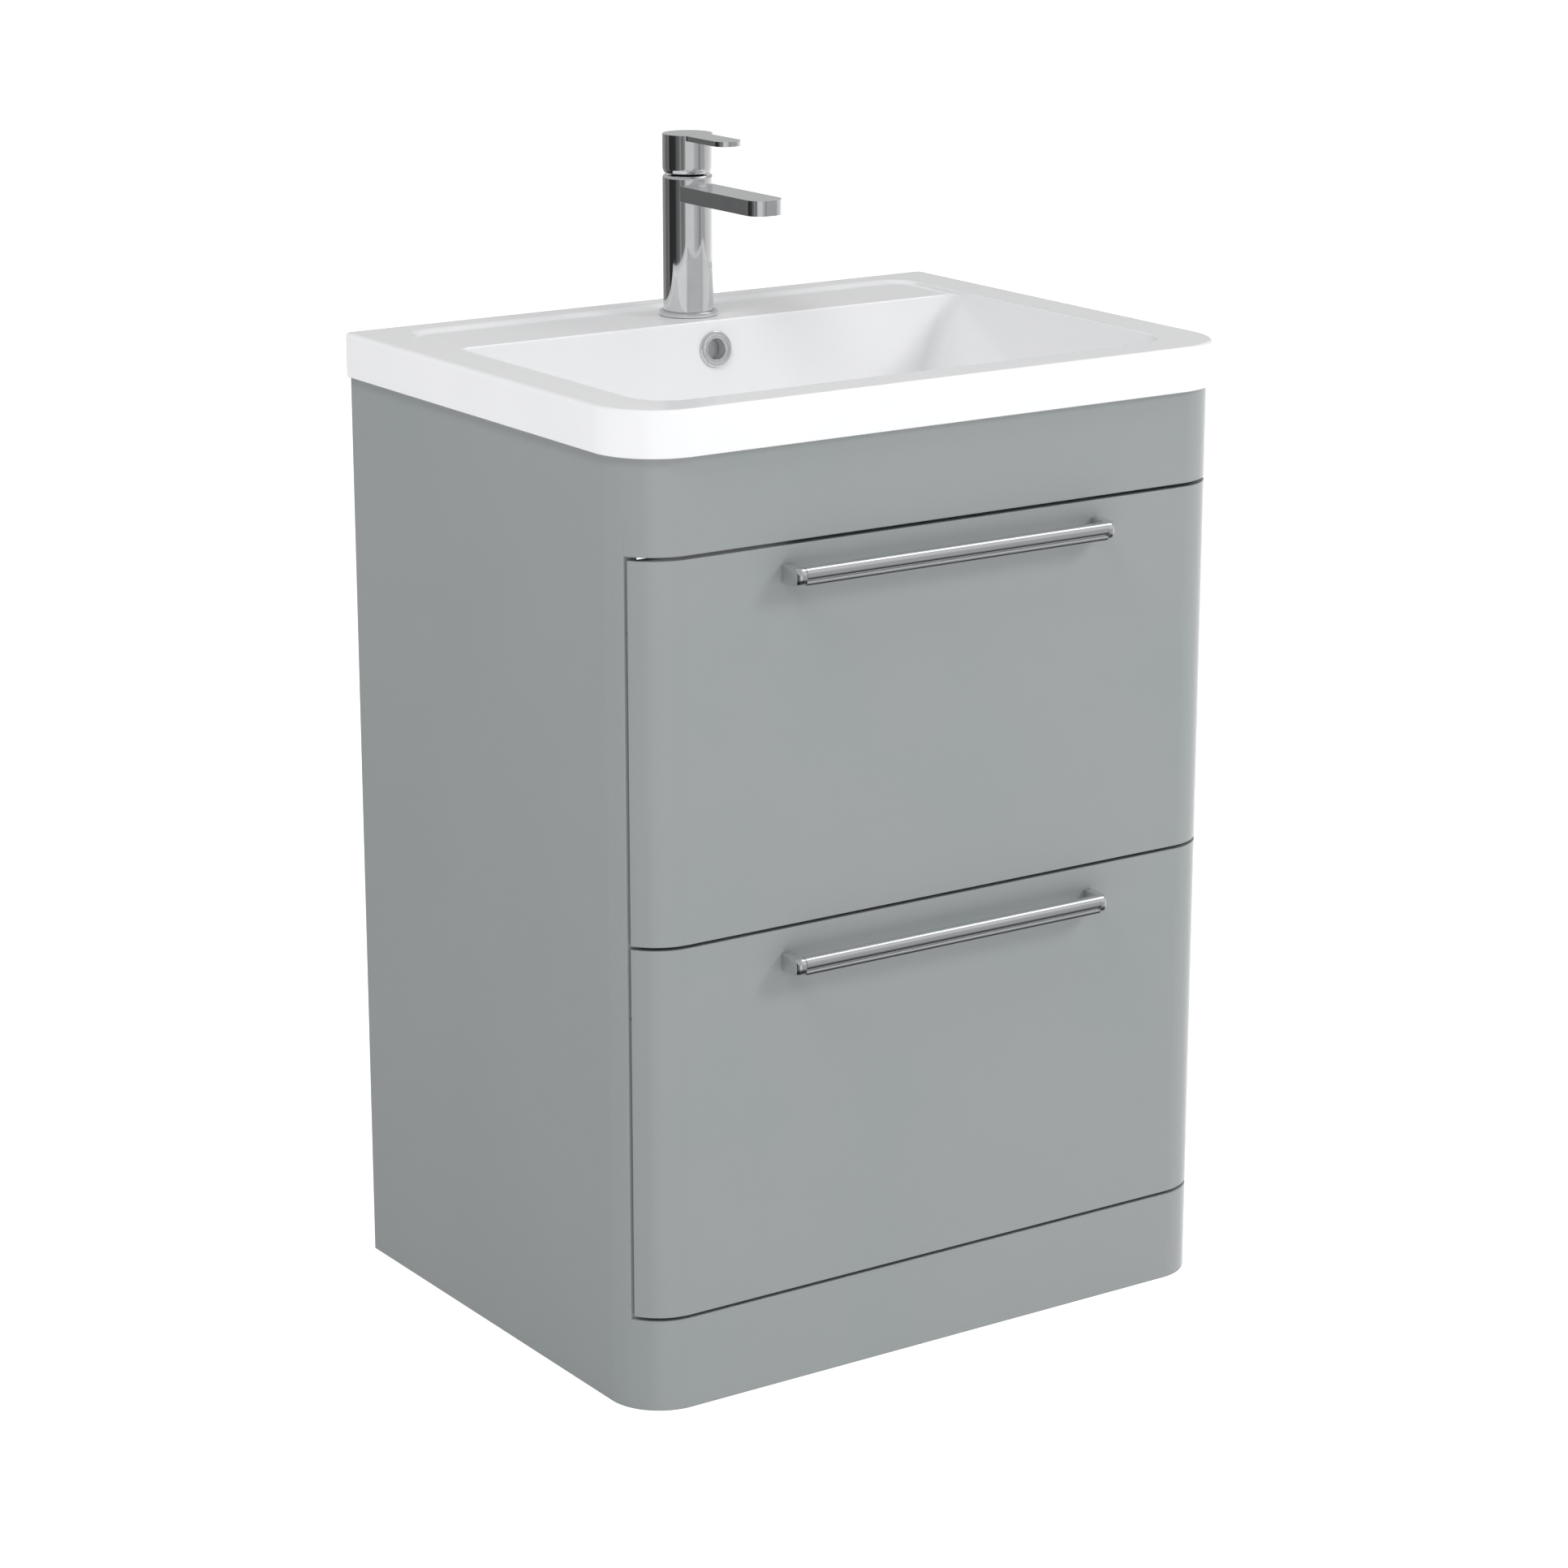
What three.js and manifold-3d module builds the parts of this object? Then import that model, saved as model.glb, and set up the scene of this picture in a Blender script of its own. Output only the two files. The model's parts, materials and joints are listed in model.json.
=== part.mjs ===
// Floor-standing bathroom vanity: a two-drawer cabinet with rounded front corners, a ceramic
// basin on top and a single-lever mixer tap. Millimetres, +Z up, front towards -Y, back (wall)
// towards +Y. The finished group stands on Z = 0 with its origin under the middle of its box.
import * as THREE from 'three';
import { mergeVertices } from 'three/addons/utils/BufferGeometryUtils.js';
import Module from 'manifold-3d';

const wasm = await Module();
wasm.setup();

// ---- Cabinet ----
const CABINET_WIDTH = 600;
const CABINET_DEPTH = 459;
const CABINET_HEIGHT = 807;
const CORNER_RADIUS = 48;
const SIDE_THICKNESS = 18;
const FRONT_THICKNESS = 23;
const REVEAL = 3;
const PLINTH_HEIGHT = 80;
const FASCIA_HEIGHT = 80;
const BASE_THICKNESS = 18;
const BACK_THICKNESS = 16;
const GLUE_LINE = 0.2;
const OVERSHOOT = 1; // how far a cutting tool runs past the face it opens
const SERVICE_OPENING = { width: 300, bottom: 440, top: 680 };
const BRACKET = { leg: 32, height: 42, thickness: 2, drop: 30 };
const BUMPER = { radius: 4, thickness: 2.5, drop: 60, edge: 2 };

// ---- Drawers and runners ----
const RUNNER = { thickness: 12.7, height: 45, wall: 1.4, setback: 3.5, tail: 23.7, clearance: 0.5 };
const RUNNER_FLANGE = { outer: 10, inner: 7 };
const RUNNER_PLAY = { outer: 2.4, inner: 2, balls: 2.5 };
const DRAWER_BOX = { wall: 12, backClearance: 39.8, floor: 8, floorRaise: 6, aboveFrontEdge: 22 };
const UPPER_BOX_HEIGHT = 150;
const LOWER_BOX_HEIGHT = 220;
const RUNNER_ABOVE_BOX_FOOT = 50;
const TRAP_CUTOUT = { halfWidth: 85, aheadOfWaste: 55, guardWall: 4 };

// ---- Handles ----
const HANDLE_LENGTH = 322;
const HANDLE_PROJECTION = 25;
const HANDLE_BAR = { height: 15, thickness: 8, edge: 1, grooveTop: 5, lip: 4, grooveDepth: 2.5 };
const HANDLE_BRACKET = { width: 8, height: 16, shoulder: 0.35, chin: 2 };
const HANDLE_DROP = { upper: 22.5, lower: 28 };
const SCREW = { shank: 2, head: 3.6, headDepth: 2.4, bite: 6, hole: 7 };
const FIT = 0.3;

// ---- Basin ----
const RIM_HEIGHT = 38.5;
const BASIN_OVERHANG = { side: 5.5, front: 6, back: 1 };
const BASIN_CORNER_RADIUS = 57;
const BASIN_BACK_RADIUS = 6;
const BASIN_EDGE = 3;
const SKIRT_THICKNESS = 18;
const RIM_SKIN = 12;
const RIM_WIDTH = { side: 40.5, front: 35, back: 26 };
const LEDGE_DROP = 2.5;
const LEDGE_DEPTH = 88;
const RECESS_CORNER_RADIUS = { front: 39, back: 26 };
const BOWL_EDGE = 1;
const BOWL_DEPTH = 118;
const BOWL_WALL = 10;
const BOWL_FLOOR = 12;
const BOWL_SLOPE = { side: 0.45, front: 0.25, back: 0.13 };
const BOWL_CORNER_RADIUS = { front: 38, back: 16 };
const BOWL_FOOT_RADIUS = 26;
const OVERFLOW = { drop: 27.5, hole: 10, ring: 16, bore: 9, lip: 2.5, collar: 7, edge: 1, slope: 1.5 };

// ---- Waste ----
const WASTE = { thread: 20.5, threadClearance: 2, flange: 12.5, lip: 3, wall: 3.5, tail: 70 };
const WASTE_BEHIND_MIDDLE = 10;
const WASTE_MOUTH = { edge: 2, dish: 3 };
const WASTE_GUIDE = { foot: -30, top: -22, halfSpoke: 2, hubWall: 3 };
const WASTE_PLUG = { edgeInset: 3, thickness: 4, lift: 8, stem: 5, stemLength: 42, edge: 2, bevel: 1.5 };
const WASTE_NUT = { wall: 10.5, height: 12 };

// ---- Tap ----
const TAP_BACKSET = 48;
const TAP_BODY = { radius: 22.15, height: 124.2, wall: 5.15, boreDepth: 42 };
const TAP_BEVEL = { width: 2.65, height: 3 };
const TAP_RING = { width: 3.55, height: 4.5, bevel: 1 };
const TAP_SHANK = { radius: 16, length: 45, bore: 12, boreRise: 18 };
const TAP_HOLE_CLEARANCE = 1.5;
const SPOUT = { width: 34, thickness: 13.5, top: 115.7, reach: 131.5, cornerRadius: 13, root: 2 };
const AERATOR = { radius: 9, mesh: 6, recess: 2, depth: 7, setback: 19 };
const LEVER = { gap: 1.2, height: 34.3, swing: 7.8, headroom: 21.1 };
const LEVER_CHAMFER = { width: 2.65, height: 5.6 };
const BLADE = { reach: 73, thickness: 4.5, width: 26, cornerRadius: 11 };
const STEM = { radius: 7.7, top: 17.6, foot: 23.6 };
const FIXING_NUT = { wall: 7, height: 8 };

// ---- Derived planes ----
const FRONT_Y = -CABINET_DEPTH / 2;
const BACK_Y = CABINET_DEPTH / 2;
const SPLIT_Y = FRONT_Y + FRONT_THICKNESS + REVEAL;
const INNER_HALF_WIDTH = CABINET_WIDTH / 2 - SIDE_THICKNESS;
const DRAWER_FRONT_HEIGHT = (CABINET_HEIGHT - PLINTH_HEIGHT - FASCIA_HEIGHT - 3 * REVEAL) / 2;
const LOWER_FRONT_Z = PLINTH_HEIGHT + REVEAL;
const UPPER_FRONT_Z = LOWER_FRONT_Z + DRAWER_FRONT_HEIGHT + REVEAL;
const BOX_HALF_WIDTH = INNER_HALF_WIDTH - RUNNER.thickness - RUNNER.clearance;
const BOX_FRONT_Y = FRONT_Y + FRONT_THICKNESS + GLUE_LINE;
const BOX_BACK_Y = BACK_Y - BACK_THICKNESS - DRAWER_BOX.backClearance;
const RUNNER_FRONT_Y = SPLIT_Y + RUNNER.setback;
const RUNNER_LENGTH = BOX_BACK_Y - RUNNER.tail - RUNNER_FRONT_Y;
const RIM_TOP_Z = CABINET_HEIGHT + RIM_HEIGHT;
const LEDGE_Z = RIM_TOP_Z - LEDGE_DROP;
const BASIN_HALF_WIDTH = CABINET_WIDTH / 2 + BASIN_OVERHANG.side;
const BASIN_FRONT_Y = FRONT_Y - BASIN_OVERHANG.front;
const BASIN_BACK_Y = BACK_Y + BASIN_OVERHANG.back;
const RECESS = {
  halfWidth: BASIN_HALF_WIDTH - RIM_WIDTH.side,
  front: BASIN_FRONT_Y + RIM_WIDTH.front,
  back: BASIN_BACK_Y - RIM_WIDTH.back,
};
const BOWL = {
  halfWidth: RECESS.halfWidth - BOWL_EDGE,
  front: RECESS.front + BOWL_EDGE,
  back: RECESS.back - LEDGE_DEPTH,
  floorZ: RIM_TOP_Z - BOWL_DEPTH,
};
const TAP_Y = RECESS.back - TAP_BACKSET;
const WASTE_Y = (BOWL.front + BOWL.back) / 2 + WASTE_BEHIND_MIDDLE;
const WASTE_HOLE = WASTE.thread + WASTE.threadClearance;
const WASTE_FLANGE = WASTE.thread + WASTE.flange;
const TAP_BORE = TAP_BODY.radius - TAP_BODY.wall;
const ARC_STEPS = 4;
const ROUND_STEPS = 32;
const STEPS = { nut: 6, screw: 12, small: 20, ring: 28, column: 40 };

// ---- Materials ----
function finish(name, color, roughness, metalness) {
  return new THREE.MeshStandardMaterial({ name, color, roughness, metalness });
}

const grey = finish('grey_lacquer', 0x9ba3a1, 0.35, 0);
const carcass = finish('carcass_board', 0xb9bcba, 0.6, 0);
const drawerBoard = finish('drawer_board', 0xcfd0cd, 0.6, 0);
const ceramic = finish('white_ceramic', 0xf0f1f3, 0.12, 0);
const chrome = finish('chrome', 0xc4c7c8, 0.08, 1);
const brushed = finish('brushed_bar', 0xb4b9ba, 0.25, 1);
const zinc = finish('zinc_steel', 0xa9adb0, 0.35, 1);
const brass = finish('brass', 0xb08d4f, 0.35, 1);
const plastic = finish('white_plastic', 0xd9dad8, 0.5, 0);
const clearRubber = finish('clear_rubber', 0xc9c9c4, 0.6, 0);

// ---- Building blocks ----
function toSolid(geometry) {
  const bare = geometry.clone();
  bare.deleteAttribute('normal');
  bare.deleteAttribute('uv');
  const merged = mergeVertices(bare, 1e-4);
  const vertProperties = new Float32Array(merged.attributes.position.array);
  const triVerts = new Uint32Array(merged.index.array);
  return new wasm.Manifold(new wasm.Mesh({ numProp: 3, vertProperties, triVerts }));
}

function toGeometry(solid) {
  const { vertProperties, triVerts } = solid.getMesh();
  const geometry = new THREE.BufferGeometry();
  geometry.setAttribute('position', new THREE.BufferAttribute(vertProperties, 3));
  geometry.setIndex(new THREE.BufferAttribute(triVerts, 1));
  geometry.computeVertexNormals();
  return geometry;
}

function join(...geometries) {
  return toGeometry(geometries.map(toSolid).reduce((whole, piece) => whole.add(piece)));
}

function cut(geometry, ...tools) {
  return toGeometry(tools.map(toSolid).reduce((rest, tool) => rest.subtract(tool), toSolid(geometry)));
}

function part(name, geometry, material, x = 0, y = 0, z = 0) {
  const mesh = new THREE.Mesh(geometry, material);
  mesh.name = name;
  mesh.position.set(x, y, z);
  return mesh;
}

function group(...children) {
  const holder = new THREE.Group();
  holder.add(...children);
  return holder;
}

// A straight board between two corners, its geometry centred on its own middle.
function board(name, material, [x0, x1], [y0, y1], [z0, z1]) {
  const geometry = new THREE.BoxGeometry(x1 - x0, y1 - y0, z1 - z0);
  return part(name, geometry, material, (x0 + x1) / 2, (y0 + y1) / 2, (z0 + z1) / 2);
}

function block([x0, x1], [y0, y1], [z0, z1]) {
  const geometry = new THREE.BoxGeometry(x1 - x0, y1 - y0, z1 - z0);
  return geometry.translate((x0 + x1) / 2, (y0 + y1) / 2, (z0 + z1) / 2);
}

// An upright prism on a plan outline, from z = foot up to z = foot + height.
function prism(shape, height, foot = 0, curveSegments = ARC_STEPS) {
  const geometry = new THREE.ExtrudeGeometry(shape, { depth: height, bevelEnabled: false, curveSegments });
  return geometry.translate(0, 0, foot);
}

// A solid of revolution about Z from [radius, height] points that start and end on the axis
// or close on themselves.
function turned(points, steps = ROUND_STEPS) {
  const outline = points.map(([radius, height]) => new THREE.Vector2(radius, height));
  return new THREE.LatheGeometry(outline, steps).rotateX(Math.PI / 2);
}

function rod(radius, foot, top, steps = ROUND_STEPS) {
  return turned([[0, foot], [radius, foot], [radius, top], [0, top]], steps);
}

function tube(bore, radius, foot, top, steps = ROUND_STEPS) {
  return turned([[bore, foot], [radius, foot], [radius, top], [bore, top], [bore, foot]], steps);
}

function polygon(points) {
  return new THREE.Shape(points.map(([x, y]) => new THREE.Vector2(x, y)));
}

function mirrored(shape) {
  return new THREE.Shape(shape.getPoints(ARC_STEPS).map((point) => new THREE.Vector2(-point.x, point.y)));
}

// Turns a prism so that its plan's x and y become Y and Z, and its length runs along X.
function alongX(geometry) {
  const turn = new THREE.Matrix4().makeBasis(
    new THREE.Vector3(0, 1, 0),
    new THREE.Vector3(0, 0, 1),
    new THREE.Vector3(1, 0, 0),
  );
  return geometry.applyMatrix4(turn);
}

// Turns a prism so that its plan's x and y become X and Z, and its length runs along -Y.
function alongY(geometry) {
  return geometry.rotateX(Math.PI / 2);
}

// A rectangle with its own radius on the two front and the two back corners.
function roundedRectangle(halfWidth, front, back, frontRadius, backRadius) {
  const shape = new THREE.Shape();
  shape.absarc(-halfWidth + frontRadius, front + frontRadius, frontRadius, Math.PI, 1.5 * Math.PI);
  shape.absarc(halfWidth - frontRadius, front + frontRadius, frontRadius, 1.5 * Math.PI, 2 * Math.PI);
  shape.absarc(halfWidth - backRadius, back - backRadius, backRadius, 0, 0.5 * Math.PI);
  shape.absarc(-halfWidth + backRadius, back - backRadius, backRadius, 0.5 * Math.PI, Math.PI);
  return shape;
}

// ---- Cabinet shell ----
// Plan of a piece that wraps round both front corners and is cut off `depth` behind the front.
function wrappedFront(depth) {
  const centreX = CABINET_WIDTH / 2 - CORNER_RADIUS;
  const centreY = FRONT_Y + CORNER_RADIUS;
  const cutAngle = Math.asin((CORNER_RADIUS - depth) / CORNER_RADIUS);
  const shape = new THREE.Shape();
  shape.absarc(-centreX, centreY, CORNER_RADIUS, Math.PI + cutAngle, 1.5 * Math.PI);
  shape.absarc(centreX, centreY, CORNER_RADIUS, -Math.PI / 2, -cutAngle);
  const last = shape.getPoints(ARC_STEPS).at(-1);
  shape.lineTo(last.x, FRONT_Y + depth);
  shape.lineTo(-last.x, FRONT_Y + depth);
  return shape;
}

function sidePanelPlan() {
  const depth = SPLIT_Y - FRONT_Y;
  const cutAngle = Math.asin((CORNER_RADIUS - depth) / CORNER_RADIUS);
  const centreX = CABINET_WIDTH / 2 - CORNER_RADIUS;
  const shape = new THREE.Shape();
  shape.moveTo(INNER_HALF_WIDTH, BACK_Y);
  shape.lineTo(INNER_HALF_WIDTH, SPLIT_Y);
  shape.lineTo(centreX + CORNER_RADIUS * Math.cos(cutAngle), SPLIT_Y);
  shape.absarc(centreX, FRONT_Y + CORNER_RADIUS, CORNER_RADIUS, -cutAngle, 0);
  shape.lineTo(CABINET_WIDTH / 2, BACK_Y);
  return shape;
}

function sidePanels() {
  return group(
    part('side_panel_left', prism(mirrored(sidePanelPlan()), CABINET_HEIGHT), grey),
    part('side_panel_right', prism(sidePanelPlan(), CABINET_HEIGHT), grey),
  );
}

function frontRails() {
  const plan = wrappedFront(FRONT_THICKNESS + REVEAL);
  return group(
    part('plinth', prism(plan, PLINTH_HEIGHT), grey),
    part('top_fascia', prism(plan, FASCIA_HEIGHT), grey, 0, 0, CABINET_HEIGHT - FASCIA_HEIGHT),
  );
}

function bottomPanel() {
  const half = INNER_HALF_WIDTH - GLUE_LINE;
  const depth = [SPLIT_Y + GLUE_LINE, BACK_Y - BACK_THICKNESS - GLUE_LINE];
  const rise = [PLINTH_HEIGHT - BASE_THICKNESS, PLINTH_HEIGHT];
  return board('bottom_panel', carcass, [-half, half], depth, rise);
}

function backPanel() {
  const half = INNER_HALF_WIDTH - GLUE_LINE;
  const depth = [BACK_Y - BACK_THICKNESS, BACK_Y];
  const halfOpening = SERVICE_OPENING.width / 2;
  const panel = block([-half, half], depth, [0, CABINET_HEIGHT]);
  const opening = block(
    [-halfOpening, halfOpening],
    [depth[0] - OVERSHOOT, depth[1] + OVERSHOOT],
    [SERVICE_OPENING.bottom, SERVICE_OPENING.top],
  );
  return part('back_panel', cut(panel, opening), carcass);
}

// Steel angles in the top rear corners, one leg on the side panel and one on the back panel.
function wallBrackets() {
  const { leg, height, thickness, drop } = BRACKET;
  const cornerX = INNER_HALF_WIDTH - FIT;
  const cornerY = BACK_Y - BACK_THICKNESS - FIT;
  const plan = polygon([
    [cornerX, cornerY],
    [cornerX - leg, cornerY],
    [cornerX - leg, cornerY - thickness],
    [cornerX - thickness, cornerY - thickness],
    [cornerX - thickness, cornerY - leg],
    [cornerX, cornerY - leg],
  ]);
  const foot = CABINET_HEIGHT - drop - height;
  return group(
    part('wall_bracket_left', prism(mirrored(plan), height), zinc, 0, 0, foot),
    part('wall_bracket_right', prism(plan, height), zinc, 0, 0, foot),
  );
}

// Round pads on the side panels' front edges, which the drawer fronts close against.
function bumpers(drawerName, frontZ) {
  const pads = [['left', -1], ['right', 1]].map(([sideName, side]) => {
    const pad = alongY(rod(BUMPER.radius, 0, BUMPER.thickness, STEPS.screw));
    const x = side * (INNER_HALF_WIDTH + BUMPER.radius + BUMPER.edge);
    const z = frontZ + DRAWER_FRONT_HEIGHT - BUMPER.drop;
    return part(`bumper_${drawerName}_${sideName}`, pad, clearRubber, x, SPLIT_Y - GLUE_LINE, z);
  });
  return group(...pads);
}

// ---- Runners: three telescopic channels at each side of each drawer ----
// A channel section: its web stands on the line `web`, and its flanges reach to `tip`.
function channel(web, tip, height, wall) {
  const inner = web + Math.sign(tip - web) * wall;
  const top = height / 2;
  return polygon([
    [web, -top], [tip, -top], [tip, wall - top], [inner, wall - top],
    [inner, top - wall], [tip, top - wall], [tip, top], [web, top],
  ]);
}

function runnerMember(name, section, side, z) {
  const shape = side > 0 ? section : mirrored(section);
  return part(name, alongY(prism(shape, RUNNER_LENGTH)), zinc, 0, RUNNER_FRONT_Y + RUNNER_LENGTH, z);
}

function runners(drawerName, frontZ) {
  const z = frontZ + DRAWER_BOX.aboveFrontEdge + RUNNER_ABOVE_BOX_FOOT;
  const outerWeb = INNER_HALF_WIDTH - GLUE_LINE;
  const innerWeb = BOX_HALF_WIDTH + GLUE_LINE;
  const step = 2 * (RUNNER.wall + RUNNER_PLAY.balls);
  const middleHeight = RUNNER.height - step;
  const innerHeight = middleHeight - step;
  const middleWeb = outerWeb - RUNNER_PLAY.outer;
  const middleTip = innerWeb + RUNNER_PLAY.inner;
  const outer = channel(outerWeb, outerWeb - RUNNER_FLANGE.outer, RUNNER.height, RUNNER.wall);
  const middle = channel(middleWeb, middleTip, middleHeight, RUNNER.wall);
  const inner = channel(innerWeb, innerWeb + RUNNER_FLANGE.inner, innerHeight, RUNNER.wall);
  const members = [['left', -1], ['right', 1]].flatMap(([sideName, side]) => [
    runnerMember(`runner_${drawerName}_${sideName}_outer`, outer, side, z),
    runnerMember(`runner_${drawerName}_${sideName}_middle`, middle, side, z),
    runnerMember(`runner_${drawerName}_${sideName}_inner`, inner, side, z),
  ]);
  return group(...members);
}

// ---- Drawers ----
function screwHoles(z) {
  const screwX = (HANDLE_LENGTH - HANDLE_BRACKET.width) / 2;
  return [-screwX, screwX].flatMap((x) => {
    const through = FRONT_THICKNESS + OVERSHOOT;
    const clear = alongY(rod(SCREW.shank + FIT, -OVERSHOOT, through, STEPS.screw));
    const sink = alongY(rod(SCREW.head + FIT, -OVERSHOOT, SCREW.headDepth + FIT, STEPS.screw));
    const backY = FRONT_Y + FRONT_THICKNESS;
    return [clear.translate(x, backY, z), sink.translate(x, backY, z)];
  });
}

function drawerFront(name, frontZ, handleZ) {
  const slab = prism(wrappedFront(FRONT_THICKNESS), DRAWER_FRONT_HEIGHT);
  return part(`${name}_front`, cut(slab, ...screwHoles(handleZ - frontZ)), grey, 0, 0, frontZ);
}

function boxSides(name, foot, height) {
  const half = DRAWER_BOX.wall / 2;
  const depth = [BOX_FRONT_Y, BOX_BACK_Y];
  const sides = [['left', -1], ['right', 1]].map(([sideName, side]) => {
    const x = side * (BOX_HALF_WIDTH - half);
    return board(`${name}_side_${sideName}`, drawerBoard, [x - half, x + half], depth, [foot, foot + height]);
  });
  return group(...sides);
}

function boxFront(name, foot, height) {
  const half = BOX_HALF_WIDTH - DRAWER_BOX.wall - GLUE_LINE;
  const depth = [BOX_FRONT_Y, BOX_FRONT_Y + DRAWER_BOX.wall];
  return board(`${name}_box_front`, drawerBoard, [-half, half], depth, [foot, foot + height]);
}

function boxFloorRange() {
  const half = BOX_HALF_WIDTH - DRAWER_BOX.wall - GLUE_LINE;
  const front = BOX_FRONT_Y + DRAWER_BOX.wall + GLUE_LINE;
  return { half, front, back: BOX_BACK_Y };
}

function boxFloorZ(foot) {
  return [foot + DRAWER_BOX.floorRaise, foot + DRAWER_BOX.floorRaise + DRAWER_BOX.floor];
}

// The upper drawer goes round the waste trap: a notched floor, two short backs and a U guard.
function upperBoxRear(name, foot, height) {
  const { half, front, back } = boxFloorRange();
  const { halfWidth, aheadOfWaste, guardWall } = TRAP_CUTOUT;
  const [floorFoot, floorTop] = boxFloorZ(foot);
  const notchY = WASTE_Y - aheadOfWaste;
  const floorPlan = polygon([
    [-half, front], [half, front], [half, back], [halfWidth, back],
    [halfWidth, notchY], [-halfWidth, notchY], [-halfWidth, back], [-half, back],
  ]);
  const outer = halfWidth + guardWall;
  const guardPlan = polygon([
    [-outer, back], [-outer, notchY - guardWall], [outer, notchY - guardWall], [outer, back],
    [halfWidth, back], [halfWidth, notchY], [-halfWidth, notchY], [-halfWidth, back],
  ]);
  const guardFoot = floorTop + GLUE_LINE;
  const backDepth = [back - DRAWER_BOX.wall, back];
  const backHeight = [guardFoot, foot + height];
  return group(
    part(`${name}_floor`, prism(floorPlan, floorTop - floorFoot), drawerBoard, 0, 0, floorFoot),
    part(`${name}_trap_guard`, prism(guardPlan, foot + height - guardFoot), plastic, 0, 0, guardFoot),
    board(`${name}_back_left`, drawerBoard, [-half, -outer - GLUE_LINE], backDepth, backHeight),
    board(`${name}_back_right`, drawerBoard, [outer + GLUE_LINE, half], backDepth, backHeight),
  );
}

function lowerBoxRear(name, foot, height) {
  const { half, front, back } = boxFloorRange();
  const [floorFoot, floorTop] = boxFloorZ(foot);
  const backDepth = [back - DRAWER_BOX.wall, back];
  return group(
    board(`${name}_floor`, drawerBoard, [-half, half], [front, back], [floorFoot, floorTop]),
    board(`${name}_back`, drawerBoard, [-half, half], backDepth, [floorTop + GLUE_LINE, foot + height]),
  );
}

// ---- Handles ----
// The bar's section across Y and Z: a crowned front over a groove and a narrow lower lip.
function barSection() {
  const { edge, grooveDepth } = HANDLE_BAR;
  const back = -(HANDLE_PROJECTION - HANDLE_BAR.thickness);
  const front = -HANDLE_PROJECTION;
  const top = HANDLE_BAR.height / 2;
  const grooveTop = -top + HANDLE_BAR.grooveTop;
  const lipTop = -top + HANDLE_BAR.lip;
  const shape = new THREE.Shape();
  shape.moveTo(back, -top);
  shape.lineTo(back, top - edge);
  shape.lineTo(back - edge, top);
  shape.quadraticCurveTo(front, top, front, (top + grooveTop) / 2);
  shape.quadraticCurveTo(front, grooveTop + edge, front + grooveDepth - edge, grooveTop);
  shape.lineTo(front + grooveDepth, lipTop + FIT);
  shape.lineTo(front + edge, lipTop);
  shape.lineTo(front + edge, -top + edge);
  shape.lineTo(front + 2 * edge, -top);
  return shape;
}

// A cast end bracket: a leg on the drawer front whose crowned nose caps the end of the bar.
function handleBracket(name, side) {
  const { width, height, shoulder, chin } = HANDLE_BRACKET;
  const face = -GLUE_LINE;
  const nose = -HANDLE_PROJECTION;
  const neck = nose + HANDLE_BAR.thickness;
  const top = height / 2;
  const noseTop = HANDLE_BAR.height / 2;
  const profile = new THREE.Shape();
  profile.moveTo(face, -top);
  profile.lineTo(face, top);
  profile.lineTo(neck * shoulder, top);
  profile.lineTo(neck, noseTop);
  profile.quadraticCurveTo(nose, noseTop, nose, 0);
  profile.quadraticCurveTo(nose, -noseTop, neck + chin, -noseTop);
  profile.lineTo(neck * shoulder, -top);
  const bracket = alongX(prism(profile, width)).translate(-width / 2, 0, 0);
  const thread = alongY(rod(SCREW.shank + FIT, -OVERSHOOT, SCREW.hole + FIT, STEPS.screw));
  return part(name, cut(bracket, thread), chrome, side * (HANDLE_LENGTH - width) / 2, FRONT_Y, 0);
}

// A cheese head sunk in the rear of the drawer front, its shank biting in the bracket.
function handleScrew(name, side) {
  const { shank, head, headDepth, bite } = SCREW;
  const length = FRONT_THICKNESS + bite;
  const profile = [[0, 0], [head, 0], [head, headDepth], [shank, headDepth], [shank, length], [0, length]];
  const x = side * (HANDLE_LENGTH - HANDLE_BRACKET.width) / 2;
  return part(name, alongY(turned(profile, STEPS.screw)), zinc, x, FRONT_Y + FRONT_THICKNESS, 0);
}

function handle(drawerName, z) {
  const barLength = HANDLE_LENGTH - 2 * (HANDLE_BRACKET.width + FIT);
  const bar = alongX(prism(barSection(), barLength)).translate(-barLength / 2, FRONT_Y, 0);
  const fittings = group(
    part(`handle_${drawerName}_bar`, bar, brushed),
    handleBracket(`handle_${drawerName}_bracket_left`, -1),
    handleBracket(`handle_${drawerName}_bracket_right`, 1),
    handleScrew(`handle_${drawerName}_screw_left`, -1),
    handleScrew(`handle_${drawerName}_screw_right`, 1),
  );
  fittings.position.z = z;
  return fittings;
}

function drawer(level, frontZ, boxHeight, boxRear) {
  const name = `drawer_${level}`;
  const handleZ = frontZ + DRAWER_FRONT_HEIGHT - HANDLE_DROP[level];
  const foot = frontZ + DRAWER_BOX.aboveFrontEdge;
  return group(
    drawerFront(name, frontZ, handleZ),
    boxFront(name, foot, boxHeight),
    boxSides(name, foot, boxHeight),
    boxRear(name, foot, boxHeight),
    handle(level, handleZ),
    runners(level, frontZ),
    bumpers(level, frontZ),
  );
}

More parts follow.
